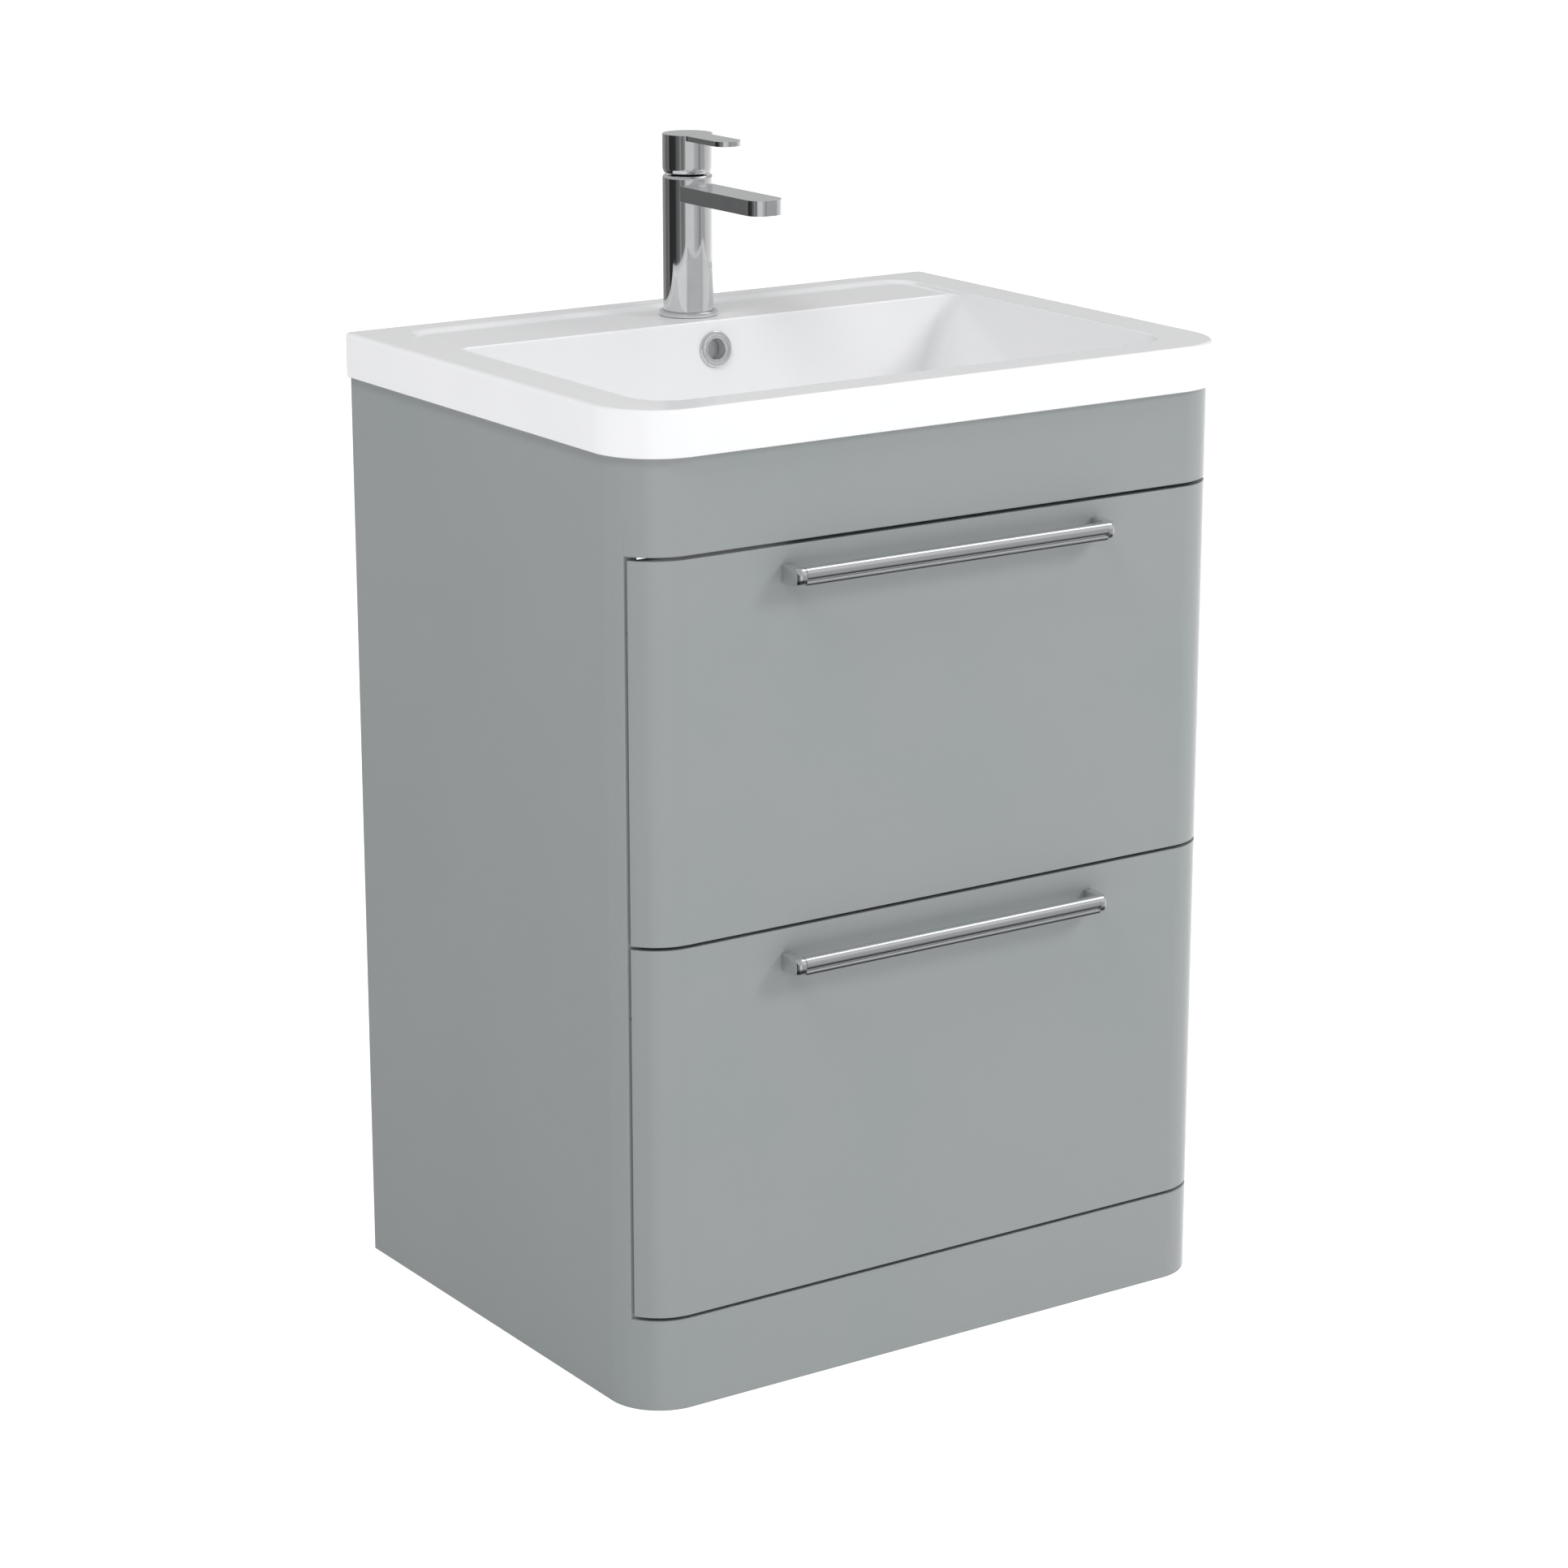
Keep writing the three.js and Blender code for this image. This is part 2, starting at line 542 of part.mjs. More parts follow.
// ---- Basin ----
function basinSlab() {
  const inset = BASIN_EDGE;
  const plan = roundedRectangle(
    BASIN_HALF_WIDTH - inset,
    BASIN_FRONT_Y + inset,
    BASIN_BACK_Y - inset,
    BASIN_CORNER_RADIUS - inset,
    BASIN_BACK_RADIUS - inset,
  );
  const slab = new THREE.ExtrudeGeometry(plan, {
    depth: RIM_HEIGHT - 2 * inset,
    bevelThickness: inset,
    bevelSize: inset,
    bevelSegments: 2,
    curveSegments: ARC_STEPS,
  });
  return slab.translate(0, 0, CABINET_HEIGHT + inset);
}

// The hollow under the rim, between the outer skirt and the bowl.
function undersidePocket() {
  const plan = roundedRectangle(
    BASIN_HALF_WIDTH - SKIRT_THICKNESS,
    BASIN_FRONT_Y + SKIRT_THICKNESS,
    BASIN_BACK_Y - SKIRT_THICKNESS,
    BASIN_CORNER_RADIUS - SKIRT_THICKNESS,
    BASIN_BACK_RADIUS,
  );
  return prism(plan, RIM_HEIGHT - RIM_SKIN + OVERSHOOT, CABINET_HEIGHT - OVERSHOOT);
}

// Inset and depth of each ring of the bowl's wall: two on the straight wall, then a round foot.
function bowlWallRings(depth) {
  const footSteps = 4;
  const straight = depth - BOWL_FOOT_RADIUS;
  const rings = [{ depth: -2 * OVERSHOOT, inset: 0 }, { depth: straight, inset: 0 }];
  for (let step = 1; step <= footSteps; step += 1) {
    const angle = (step / footSteps) * (Math.PI / 2);
    const inset = BOWL_FOOT_RADIUS * (1 - Math.cos(angle));
    rings.push({ depth: straight + BOWL_FOOT_RADIUS * Math.sin(angle), inset });
  }
  return rings;
}

// A bowl-shaped solid: a prism whose rings narrow downwards, `grow` wider all round.
function bowlSolid(grow, depth) {
  const { halfWidth, front, back } = BOWL;
  const plan = roundedRectangle(halfWidth, front, back, BOWL_CORNER_RADIUS.front, BOWL_CORNER_RADIUS.back);
  const rings = bowlWallRings(depth);
  const steps = rings.length - 1;
  const geometry = new THREE.ExtrudeGeometry(plan, {
    depth: steps,
    steps,
    bevelEnabled: false,
    curveSegments: ARC_STEPS,
  });
  const position = geometry.attributes.position;
  for (let i = 0; i < position.count; i += 1) {
    const ring = rings[steps - Math.round(position.getZ(i))];
    const sunk = Math.max(ring.depth, 0);
    const width = halfWidth + grow - BOWL_SLOPE.side * sunk - ring.inset;
    const low = front - grow + BOWL_SLOPE.front * sunk + ring.inset;
    const high = back + grow - BOWL_SLOPE.back * sunk - ring.inset;
    const share = (position.getY(i) - front) / (back - front);
    const x = (position.getX(i) / halfWidth) * width;
    position.setXYZ(i, x, low + share * (high - low), RIM_TOP_Z - ring.depth);
  }
  return geometry;
}

function ledgeRecess() {
  const { halfWidth, front, back } = RECESS;
  const radius = RECESS_CORNER_RADIUS;
  const plan = roundedRectangle(halfWidth, front, back, radius.front, radius.back);
  return prism(plan, LEDGE_DROP + OVERSHOOT, LEDGE_Z);
}

function overflowPlace() {
  const y = BOWL.back - BOWL_SLOPE.back * OVERFLOW.drop;
  return { y, z: RIM_TOP_Z - OVERFLOW.drop, tilt: Math.PI / 2 - Math.atan(BOWL_SLOPE.back) };
}

function basin() {
  const { y, z, tilt } = overflowPlace();
  const wallDown = bowlSolid(BOWL_WALL, BOWL_DEPTH + BOWL_FLOOR);
  const skinZ = RIM_TOP_Z - RIM_SKIN;
  const above = [skinZ, RIM_TOP_Z + RIM_SKIN];
  const headroom = block([-CABINET_WIDTH, CABINET_WIDTH], [-CABINET_DEPTH, CABINET_DEPTH], above);
  const shell = join(cut(basinSlab(), undersidePocket()), cut(wallDown, headroom));
  const overflowHole = rod(OVERFLOW.hole, -BOWL_WALL * 2, BOWL_WALL, STEPS.small).rotateX(tilt);
  overflowHole.translate(0, y, z);
  const wasteHole = rod(WASTE_HOLE, BOWL.floorZ - BOWL_FLOOR - OVERSHOOT, BOWL.floorZ + OVERSHOOT);
  wasteHole.translate(0, WASTE_Y, 0);
  const tapHole = rod(TAP_SHANK.radius + TAP_HOLE_CLEARANCE, skinZ - OVERSHOOT, RIM_TOP_Z);
  tapHole.translate(0, TAP_Y, 0);
  const hollow = bowlSolid(0, BOWL_DEPTH);
  return part('basin', cut(shell, hollow, ledgeRecess(), overflowHole, wasteHole, tapHole), ceramic);
}

function overflowRing() {
  const { y, z, tilt } = overflowPlace();
  const { ring, bore, lip, collar, hole, edge, slope } = OVERFLOW;
  const geometry = turned([
    [bore, -collar], [hole - FIT, -collar], [hole - FIT, FIT], [ring, FIT],
    [ring, lip - edge], [ring - slope, lip], [bore + edge, lip], [bore, lip - edge], [bore, -collar],
  ], STEPS.ring);
  const mesh = part('overflow_ring', geometry, chrome, 0, y, z);
  mesh.rotation.x = tilt;
  return mesh;
}

// ---- Waste: heights below are above the bowl's floor ----
function wasteBody() {
  const { thread, lip, wall, tail } = WASTE;
  const { edge, dish } = WASTE_MOUTH;
  const guide = WASTE_GUIDE;
  const bore = thread - wall;
  const neck = WASTE_HOLE - FIT;
  const foot = -BOWL_FLOOR - tail;
  const shell = turned([
    [bore, foot], [thread, foot], [thread, -BOWL_FLOOR], [neck, -BOWL_FLOOR],
    [neck, FIT], [WASTE_FLANGE, FIT], [WASTE_FLANGE - edge, lip], [bore + dish, lip], [bore, 0],
    [bore, foot],
  ]);
  const spoke = [-bore - OVERSHOOT, bore + OVERSHOOT];
  const spokes = [0, Math.PI / 2].map((turn) => {
    return block(spoke, [-guide.halfSpoke, guide.halfSpoke], [guide.foot, guide.top]).rotateZ(turn);
  });
  const hub = rod(WASTE_PLUG.stem + guide.hubWall, guide.foot, guide.top, STEPS.small);
  const bored = [guide.foot - OVERSHOOT, guide.top + OVERSHOOT];
  const stemBore = rod(WASTE_PLUG.stem + FIT, ...bored, STEPS.small);
  return part('waste_body', cut(join(shell, ...spokes, hub), stemBore), chrome, 0, WASTE_Y, BOWL.floorZ);
}

function wastePlug() {
  const { edgeInset, thickness, lift, stem, stemLength, edge, bevel } = WASTE_PLUG;
  const radius = WASTE_FLANGE - edgeInset;
  const geometry = turned([
    [0, -stemLength], [stem, -stemLength], [stem, 0], [radius - edge, 0], [radius, bevel],
    [radius, thickness - bevel], [radius - edge, thickness], [0, thickness],
  ]);
  return part('waste_plug', geometry, chrome, 0, WASTE_Y, BOWL.floorZ + WASTE.lip + lift);
}

function wasteNut() {
  const hexagon = rod(WASTE.thread + WASTE_NUT.wall, 0, WASTE_NUT.height, STEPS.nut);
  const bore = rod(WASTE.thread + FIT, -OVERSHOOT, WASTE_NUT.height + OVERSHOOT);
  const foot = BOWL.floorZ - BOWL_FLOOR - FIT - WASTE_NUT.height;
  return part('waste_backnut', cut(hexagon, bore), brass, 0, WASTE_Y, foot);
}

// ---- Tap: heights below are above the basin's ledge ----
// Plan of the spout or the lever's blade, from a straight root to a tip with two rounded corners.
function armPlan({ width, reach, cornerRadius }, rootY) {
  const half = width / 2;
  const cornerY = cornerRadius - reach;
  const shape = new THREE.Shape();
  shape.moveTo(half, rootY);
  shape.lineTo(-half, rootY);
  shape.absarc(-half + cornerRadius, cornerY, cornerRadius, Math.PI, 1.5 * Math.PI);
  shape.absarc(half - cornerRadius, cornerY, cornerRadius, 1.5 * Math.PI, 2 * Math.PI);
  return shape;
}

function tapBody() {
  const { radius, height, boreDepth } = TAP_BODY;
  const column = turned([
    [0, -TAP_SHANK.length], [TAP_SHANK.radius, -TAP_SHANK.length], [TAP_SHANK.radius, FIT],
    [radius, FIT], [radius, height - TAP_BEVEL.height], [radius - TAP_BEVEL.width, height], [0, height],
  ], STEPS.column);
  const spoutRoot = -TAP_BORE - SPOUT.root;
  const spout = prism(armPlan(SPOUT, spoutRoot), SPOUT.thickness, SPOUT.top - SPOUT.thickness);
  const cartridgeBore = rod(TAP_BORE, height - boreDepth, height + OVERSHOOT);
  const shankBore = rod(TAP_SHANK.bore, -TAP_SHANK.length - OVERSHOOT, TAP_SHANK.boreRise);
  const outletZ = SPOUT.top - SPOUT.thickness;
  const outletDepth = [outletZ - OVERSHOOT, outletZ + AERATOR.depth + FIT];
  const outlet = rod(AERATOR.radius + FIT, ...outletDepth, STEPS.small);
  outlet.translate(0, -SPOUT.reach + AERATOR.setback, 0);
  return part('tap_body', cut(join(column, spout), cartridgeBore, shankBore, outlet), chrome);
}

function tapBaseRing() {
  const { width, height, bevel } = TAP_RING;
  const bore = TAP_BODY.radius + FIT;
  const radius = bore + width;
  const geometry = turned([
    [bore, FIT], [radius, FIT], [radius, height - bevel], [radius - bevel, height], [bore, height],
    [bore, FIT],
  ], STEPS.column);
  return part('tap_base_ring', geometry, chrome);
}

function tapAerator() {
  const foot = SPOUT.top - SPOUT.thickness;
  const { radius, depth, mesh, recess } = AERATOR;
  const profile = [[0, recess], [mesh, recess], [mesh, 0], [radius, 0], [radius, depth], [0, depth]];
  const geometry = turned(profile, STEPS.small);
  return part('tap_aerator', geometry, plastic, 0, -SPOUT.reach + AERATOR.setback, foot);
}

function tapCartridge() {
  const { boreDepth, height } = TAP_BODY;
  const range = [height - boreDepth + FIT, height];
  const geometry = tube(STEM.radius + FIT, TAP_BORE - FIT, ...range, STEPS.ring);
  return part('tap_cartridge', geometry, chrome);
}

// The lever's pivot stands well behind the column's axis, inside the cap, so that the cap's foot
// clears the body as the blade lifts.
function tapStem() {
  const leverFoot = TAP_BODY.height + LEVER.gap;
  const geometry = rod(STEM.radius, leverFoot - STEM.foot, leverFoot + STEM.top, STEPS.small);
  return part('tap_stem', geometry, chrome);
}

function tapLever() {
  const { height, swing, headroom } = LEVER;
  const { width: bevel, height: bevelHeight } = LEVER_CHAMFER;
  const { radius } = TAP_BODY;
  const mouth = STEM.radius + swing;
  const cap = turned([
    [0, headroom], [mouth, headroom], [mouth, 0], [radius - bevel, 0],
    [radius, bevelHeight], [radius, height], [0, height],
  ], STEPS.column);
  const blade = prism(armPlan(BLADE, 0), BLADE.thickness, height - BLADE.thickness);
  return part('tap_lever', join(cap, blade), chrome, 0, 0, TAP_BODY.height + LEVER.gap);
}

function tapFixingNut() {
  const { wall, height } = FIXING_NUT;
  const hexagon = rod(TAP_SHANK.radius + wall, 0, height, STEPS.nut);
  const bore = rod(TAP_SHANK.radius + FIT, -OVERSHOOT, height + OVERSHOOT);
  const foot = LEDGE_DROP - RIM_SKIN - FIT - height;
  return part('tap_fixing_nut', cut(hexagon, bore), brass, 0, 0, foot);
}

function tap() {
  const assembly = group(
    tapBody(),
    tapBaseRing(),
    tapAerator(),
    tapCartridge(),
    tapStem(),
    tapLever(),
    tapFixingNut(),
  );
  assembly.position.set(0, TAP_Y, LEDGE_Z);
  return assembly;
}

// ---- Assembly ----
const vanity = group(
  sidePanels(),
  frontRails(),
  bottomPanel(),
  backPanel(),
  wallBrackets(),
  drawer('upper', UPPER_FRONT_Z, UPPER_BOX_HEIGHT, upperBoxRear),
  drawer('lower', LOWER_FRONT_Z, LOWER_BOX_HEIGHT, lowerBoxRear),
  basin(),
  overflowRing(),
  wasteBody(),
  wastePlug(),
  wasteNut(),
  tap(),
);
vanity.position.y = -(FRONT_Y - HANDLE_PROJECTION + BASIN_BACK_Y) / 2;

export default vanity;
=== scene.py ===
import json
import math

import bmesh
import bpy
from mathutils import Matrix, Vector


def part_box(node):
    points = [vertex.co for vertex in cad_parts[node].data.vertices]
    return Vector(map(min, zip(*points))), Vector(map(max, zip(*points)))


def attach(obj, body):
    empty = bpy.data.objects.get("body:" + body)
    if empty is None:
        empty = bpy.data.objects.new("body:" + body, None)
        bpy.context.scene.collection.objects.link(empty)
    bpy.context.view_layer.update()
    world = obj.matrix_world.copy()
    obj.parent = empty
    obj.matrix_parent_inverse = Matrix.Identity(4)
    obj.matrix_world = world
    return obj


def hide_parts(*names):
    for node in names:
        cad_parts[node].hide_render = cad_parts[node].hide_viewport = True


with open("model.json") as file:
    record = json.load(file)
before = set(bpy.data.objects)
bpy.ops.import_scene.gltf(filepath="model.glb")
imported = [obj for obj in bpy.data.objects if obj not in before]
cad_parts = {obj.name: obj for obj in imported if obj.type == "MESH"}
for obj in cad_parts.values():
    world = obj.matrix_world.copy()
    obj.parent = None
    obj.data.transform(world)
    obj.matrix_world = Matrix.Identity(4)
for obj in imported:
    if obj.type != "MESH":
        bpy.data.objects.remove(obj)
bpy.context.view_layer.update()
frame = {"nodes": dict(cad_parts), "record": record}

# A bathroom vanity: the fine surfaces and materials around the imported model.
# Metres, +Z up, the front towards -Y, the wall towards +Y.
MM = 0.001

# ---- Places taken from the frame ----
side_low, side_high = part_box("side_panel_right")
upper_low, upper_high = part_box("drawer_upper_front")
basin_low, basin_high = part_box("basin")
tap_low, tap_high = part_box("tap_body")
lever_low, lever_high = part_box("tap_lever")

HALF_WIDTH = side_high.x
INNER_HALF_WIDTH = side_low.x
FRONT_Y = upper_low.y
SPLIT_Y = side_low.y
BACK_Y = side_high.y
CABINET_TOP = side_high.z
PLINTH_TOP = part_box("plinth")[1].z
FASCIA_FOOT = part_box("top_fascia")[0].z
CORNER_RADIUS = 48 * MM
RIM_Z = basin_high.z

# ---- Basin measures, heights counted down from the rim ----
RIM_EDGE = 3 * MM
RIM_CORNER = {"front": 57 * MM, "back": 6 * MM}
SKIRT = 18 * MM
SKIN = 12 * MM
SKIRT_DROP = RIM_Z - CABINET_TOP
LEDGE_DROP = 2.5 * MM
RECESS_BACK = 26 * MM
COVE = {"ahead": 3 * MM, "width": 17 * MM}
BOWL_INSET = {"side": 41.5 * MM, "front": 36 * MM, "back": 114 * MM}
BOWL_SLOPE = {"side": 0.45, "front": 0.25, "back": 0.13}
BOWL_CORNER = {"front": 38 * MM, "back": 16 * MM}
BOWL_DEPTH = 118 * MM
BOWL_FOOT = 26 * MM
BOWL_WALL = 10 * MM
BOWL_FLOOR = 12 * MM
BOWL_EDGE = 1.6 * MM
WASTE_HOLE = 22.5 * MM
OVERFLOW_DROP = 27.5 * MM
CORNER_STEPS = 20

# ---- Tap measures, heights counted up from the ledge ----
LEDGE_Z = RIM_Z - LEDGE_DROP
TAP_RADIUS = (lever_high.x - lever_low.x) / 2
TAP_AXIS = Vector((0, lever_high.y - TAP_RADIUS, LEDGE_Z))
TAP_TOP = tap_high.z - LEDGE_Z
TAP_BORE = 17 * MM
TAP_BEVEL = {"width": 2.65 * MM, "height": 3 * MM}
SHANK = {"radius": 16 * MM, "bore": 12 * MM, "foot": tap_low.z - LEDGE_Z}
SPOUT = {"half": 17 * MM, "foot": 102.2 * MM, "top": 115.7 * MM, "corner": 13 * MM}
LEVER_TOP = lever_high.z - LEDGE_Z
BLADE = {"half": 13 * MM, "thickness": 4.5 * MM, "corner": 11 * MM}
LEVER = {"mouth": 15.5 * MM, "headroom": 21.1 * MM}
LEVER_BEVEL = {"width": 2.65 * MM, "height": 5.6 * MM}


# ---- Outlines ----
def arc(centre_x, centre_y, radius, start, stop, steps):
    """Points on an arc from start to stop, in degrees, both ends included."""
    points = []
    for step in range(steps + 1):
        angle = math.radians(start + (stop - start) * step / steps)
        points.append((centre_x + radius * math.cos(angle), centre_y + radius * math.sin(angle)))
    return points


def bezier(start, control_a, control_b, stop, steps):
    """Points on a cubic curve, without its first point."""
    points = []
    for step in range(1, steps + 1):
        t = step / steps
        weights = ((1 - t) ** 3, 3 * t * (1 - t) ** 2, 3 * t * t * (1 - t), t**3)
        ends = (start, control_a, control_b, stop)
        points.append(tuple(sum(w * p[k] for w, p in zip(weights, ends)) for k in (0, 1)))
    return points


def fillet(before, corner, after, radius, steps):
    """Points of the arc that rounds the corner between two straight runs."""
    corner, before, after = Vector(corner), Vector(before), Vector(after)
    one, two = (before - corner).normalized(), (after - corner).normalized()
    half = one.angle(two) / 2
    reach = radius / math.tan(half)
    centre = corner + (one + two).normalized() * (radius / math.sin(half))
    start, stop = corner + one * reach - centre, corner + two * reach - centre
    points = []
    for step in range(steps + 1):
        points.append(tuple(centre + start.slerp(stop, step / steps) * radius))
    return points


def rounded_rectangle(low, high, front_radius, back_radius, steps):
    """Plan outline from the left front corner, turning anticlockwise seen from above."""
    left, right, front, back = low[0], high[0], low[1], high[1]
    one, two = front_radius, back_radius
    return (
        arc(left + one, front + one, one, 180, 270, steps)
        + arc(right - one, front + one, one, 270, 360, steps)
        + arc(right - two, back - two, two, 0, 90, steps)
        + arc(left + two, back - two, two, 90, 180, steps)
    )


# ---- Meshes ----
def make_object(name, vertices, faces):
    mesh = bpy.data.meshes.new(name)
    mesh.from_pydata([tuple(v) for v in vertices], [], faces)
    shape = bmesh.new()
    shape.from_mesh(mesh)
    bmesh.ops.remove_doubles(shape, verts=shape.verts, dist=1e-6)
    bmesh.ops.recalc_face_normals(shape, faces=shape.faces)
    shape.to_mesh(mesh)
    shape.free()
    obj = bpy.data.objects.new(name, mesh)
    bpy.context.scene.collection.objects.link(obj)
    return obj


def loft(name, rings, closed=False):
    """A skin over rings with the same number of points: capped at both ends, or closed on itself."""
    count = len(rings[0])
    vertices = [point for ring in rings for point in ring]
    pairs = len(rings) if closed else len(rings) - 1
    faces = []
    for low in range(pairs):
        high = (low + 1) % len(rings)
        for k in range(count):
            after = (k + 1) % count
            faces.append((low * count + k, low * count + after, high * count + after, high * count + k))
    if not closed:
        faces.append(tuple(range(count)))
        faces.append(tuple((len(rings) - 1) * count + k for k in range(count)))
    return make_object(name, vertices, faces)


def prism(name, outline, levels):
    return loft(name, [[(x, y, z) for x, y in outline] for z in levels])


def turned(name, profile, steps=72, place=Matrix.Identity(4)):
    """A solid of revolution about Z; the profile closes on itself or starts and ends on the axis."""
    on_axis = profile[0][0] == 0 and profile[-1][0] == 0
    inner = profile[1:-1] if on_axis else profile
    rings = []
    for radius, height in inner:
        circle = arc(0, 0, radius, 0, 360, steps)[:-1]
        rings.append([place @ Vector((x, y, height)) for x, y in circle])
    return loft(name, rings, closed=not on_axis)


def bake_modifiers(obj):
    """Replaces the object's mesh by what its modifiers make of it."""
    graph = bpy.context.evaluated_depsgraph_get()
    baked = bpy.data.meshes.new_from_object(obj.evaluated_get(graph))
    obj.modifiers.clear()
    obj.data = baked


def carve(obj, *cutters):
    for cutter in cutters:
        step = obj.modifiers.new("cut", "BOOLEAN")
        step.operation = "DIFFERENCE"
        step.solver = "EXACT"
        step.object = cutter
    bake_modifiers(obj)
    for cutter in cutters:
        bpy.data.objects.remove(cutter)


def shade(obj, sharp=35):
    """Smooth shading that keeps true corners, with normals weighted by area."""
    obj.data.shade_smooth()
    obj.data.set_sharp_from_angle(angle=math.radians(sharp))
    step = obj.modifiers.new("normals", "WEIGHTED_NORMAL")
    step.keep_sharp = True
    step.weight = 100


def round_edges(obj, width, segments=3, angle=30, pick=None):
    """Rounds every edge sharper than angle, or only the edges that pick(start, end) accepts."""
    step = obj.modifiers.new("round", "BEVEL")
    step.width = width
    step.segments = segments
    step.use_clamp_overlap = True
    step.harden_normals = False
    if pick is None:
        step.limit_method = "ANGLE"
        step.angle_limit = math.radians(angle)
        return
    step.limit_method = "WEIGHT"
    weights = obj.data.attributes.new("bevel_weight_edge", "FLOAT", "EDGE")
    points = obj.data.vertices
    for edge in obj.data.edges:
        start, end = (points[i].co for i in edge.vertices)
        weights.data[edge.index].value = 1.0 if pick(start, end) else 0.0


# ---- Materials ----
class Finish:
    """A procedural material: a Principled shader and the textures that vary it."""

    def __init__(self, name, color, roughness, **constants):
        self.material = bpy.data.materials.new(name)
        self.material.use_nodes = True
        self.material.diffuse_color = (*color, 1)
        self.tree = self.material.node_tree
        self.shader = self.tree.nodes["Principled BSDF"]
        self.shader.inputs["Base Color"].default_value = (*color, 1)
        self.shader.inputs["Roughness"].default_value = roughness
        for socket, value in constants.items():
            self.shader.inputs[socket.replace("_", " ")].default_value = value
        self.color = color
        self.roughness = roughness
        self.bump = None
        self.place = self.tree.nodes.new("ShaderNodeTexCoord").outputs["Object"]

    def node(self, kind, **settings):
        made = self.tree.nodes.new(kind)
        for key, value in settings.items():
            setattr(made, key, value)
        return made

    def link(self, source, target):
        self.tree.links.new(source, target)

    def stretched(self, scale):
        mapping = self.node("ShaderNodeMapping")
        mapping.inputs["Scale"].default_value = scale
        self.link(self.place, mapping.inputs["Vector"])
        return mapping.outputs["Vector"]

    def noise(self, scale, detail=2.0, stretch=(1, 1, 1)):
        texture = self.node("ShaderNodeTexNoise")
        texture.inputs["Scale"].default_value = scale
        texture.inputs["Detail"].default_value = detail
        self.link(self.stretched(stretch), texture.inputs["Vector"])
        return texture.outputs["Fac"]

    def cells(self, scale, output="Distance", feature="F1"):
        texture = self.node("ShaderNodeTexVoronoi", feature=feature)
        texture.inputs["Scale"].default_value = scale
        self.link(self.stretched((1, 1, 1)), texture.inputs["Vector"])
        return texture.outputs[output]

    def vary_roughness(self, value, low, high):
        ranged = self.node("ShaderNodeMapRange")
        ranged.inputs["To Min"].default_value = low
        ranged.inputs["To Max"].default_value = high
        self.link(value, ranged.inputs["Value"])
        self.link(ranged.outputs["Result"], self.shader.inputs["Roughness"])

    def vary_color(self, value, other, low=0.3, high=0.7):
        """The base colour runs to another colour as value goes from low to high."""
        ramp = self.node("ShaderNodeValToRGB")
        ramp.color_ramp.elements[0].position = low
        ramp.color_ramp.elements[0].color = (*self.color, 1)
        ramp.color_ramp.elements[1].position = high
        ramp.color_ramp.elements[1].color = (*other, 1)
        self.link(value, ramp.inputs["Fac"])
        self.link(ramp.outputs["Color"], self.shader.inputs["Base Color"])
        return ramp

    def add_bump(self, height, distance, strength=1.0):
        """Adds a relief of that depth in metres on top of any earlier one."""
        bump = self.node("ShaderNodeBump")
        bump.inputs["Strength"].default_value = strength
        bump.inputs["Distance"].default_value = distance
        self.link(height, bump.inputs["Height"])
        if self.bump is not None:
            self.link(self.bump, bump.inputs["Normal"])
        self.bump = bump.outputs["Normal"]
        self.link(self.bump, self.shader.inputs["Normal"])


def lacquer():
    """Satin grey paint with a faint orange peel."""
    finish = Finish("grey_lacquer", (0.295, 0.319, 0.319), 0.3, Coat_Weight=0.5, Coat_Roughness=0.08)
    finish.vary_color(finish.noise(5, 4), (0.308, 0.326, 0.328), 0.35, 0.65)
    finish.vary_roughness(finish.noise(60, 3), 0.27, 0.34)
    finish.add_bump(finish.noise(420, 2), 0.012 * MM)
    return finish.material


def glazed_ceramic():
    """White vitreous glaze that pools into very shallow waves."""
    finish = Finish("white_ceramic", (0.872, 0.876, 0.885), 0.1, Coat_Weight=0.5, Coat_Roughness=0.03)
    finish.vary_color(finish.noise(9, 3), (0.89, 0.892, 0.9), 0.3, 0.7)
    finish.vary_roughness(finish.noise(150, 2), 0.07, 0.13)
    finish.add_bump(finish.noise(28, 1), 0.05 * MM)
    finish.add_bump(finish.noise(900, 1), 0.001 * MM)
    return finish.material


def chrome_plate():
    """Bright plating with the faintest wipe marks."""
    finish = Finish("chrome", (0.72, 0.735, 0.74), 0.04, Metallic=1.0)
    finish.vary_color(finish.noise(35, 3), (0.76, 0.77, 0.775), 0.35, 0.65)
    finish.vary_roughness(finish.noise(220, 4, (1, 1, 0.2)), 0.03, 0.065)
    return finish.material


def brushed_metal():
    """Satin metal brushed along the bar."""
    finish = Finish("brushed_bar", (0.7, 0.715, 0.72), 0.16, Metallic=1.0)
    hair = finish.noise(1.0, 3, (10, 900, 900))
    finish.vary_color(hair, (0.755, 0.765, 0.77), 0.3, 0.7)
    finish.vary_roughness(finish.noise(1.0, 2, (20, 700, 700)), 0.12, 0.18)
    finish.add_bump(hair, 0.001 * MM)
    return finish.material


def board_facing(name, color, other):
    """Melamine-faced chipboard: a fine printed grain and a paper texture."""
    finish = Finish(name, color, 0.5)
    finish.vary_color(finish.noise(1.0, 5, (14, 60, 160)), other, 0.35, 0.68)
    finish.vary_roughness(finish.noise(240, 3), 0.42, 0.58)
    finish.add_bump(finish.noise(700, 2), 0.012 * MM)
    return finish.material


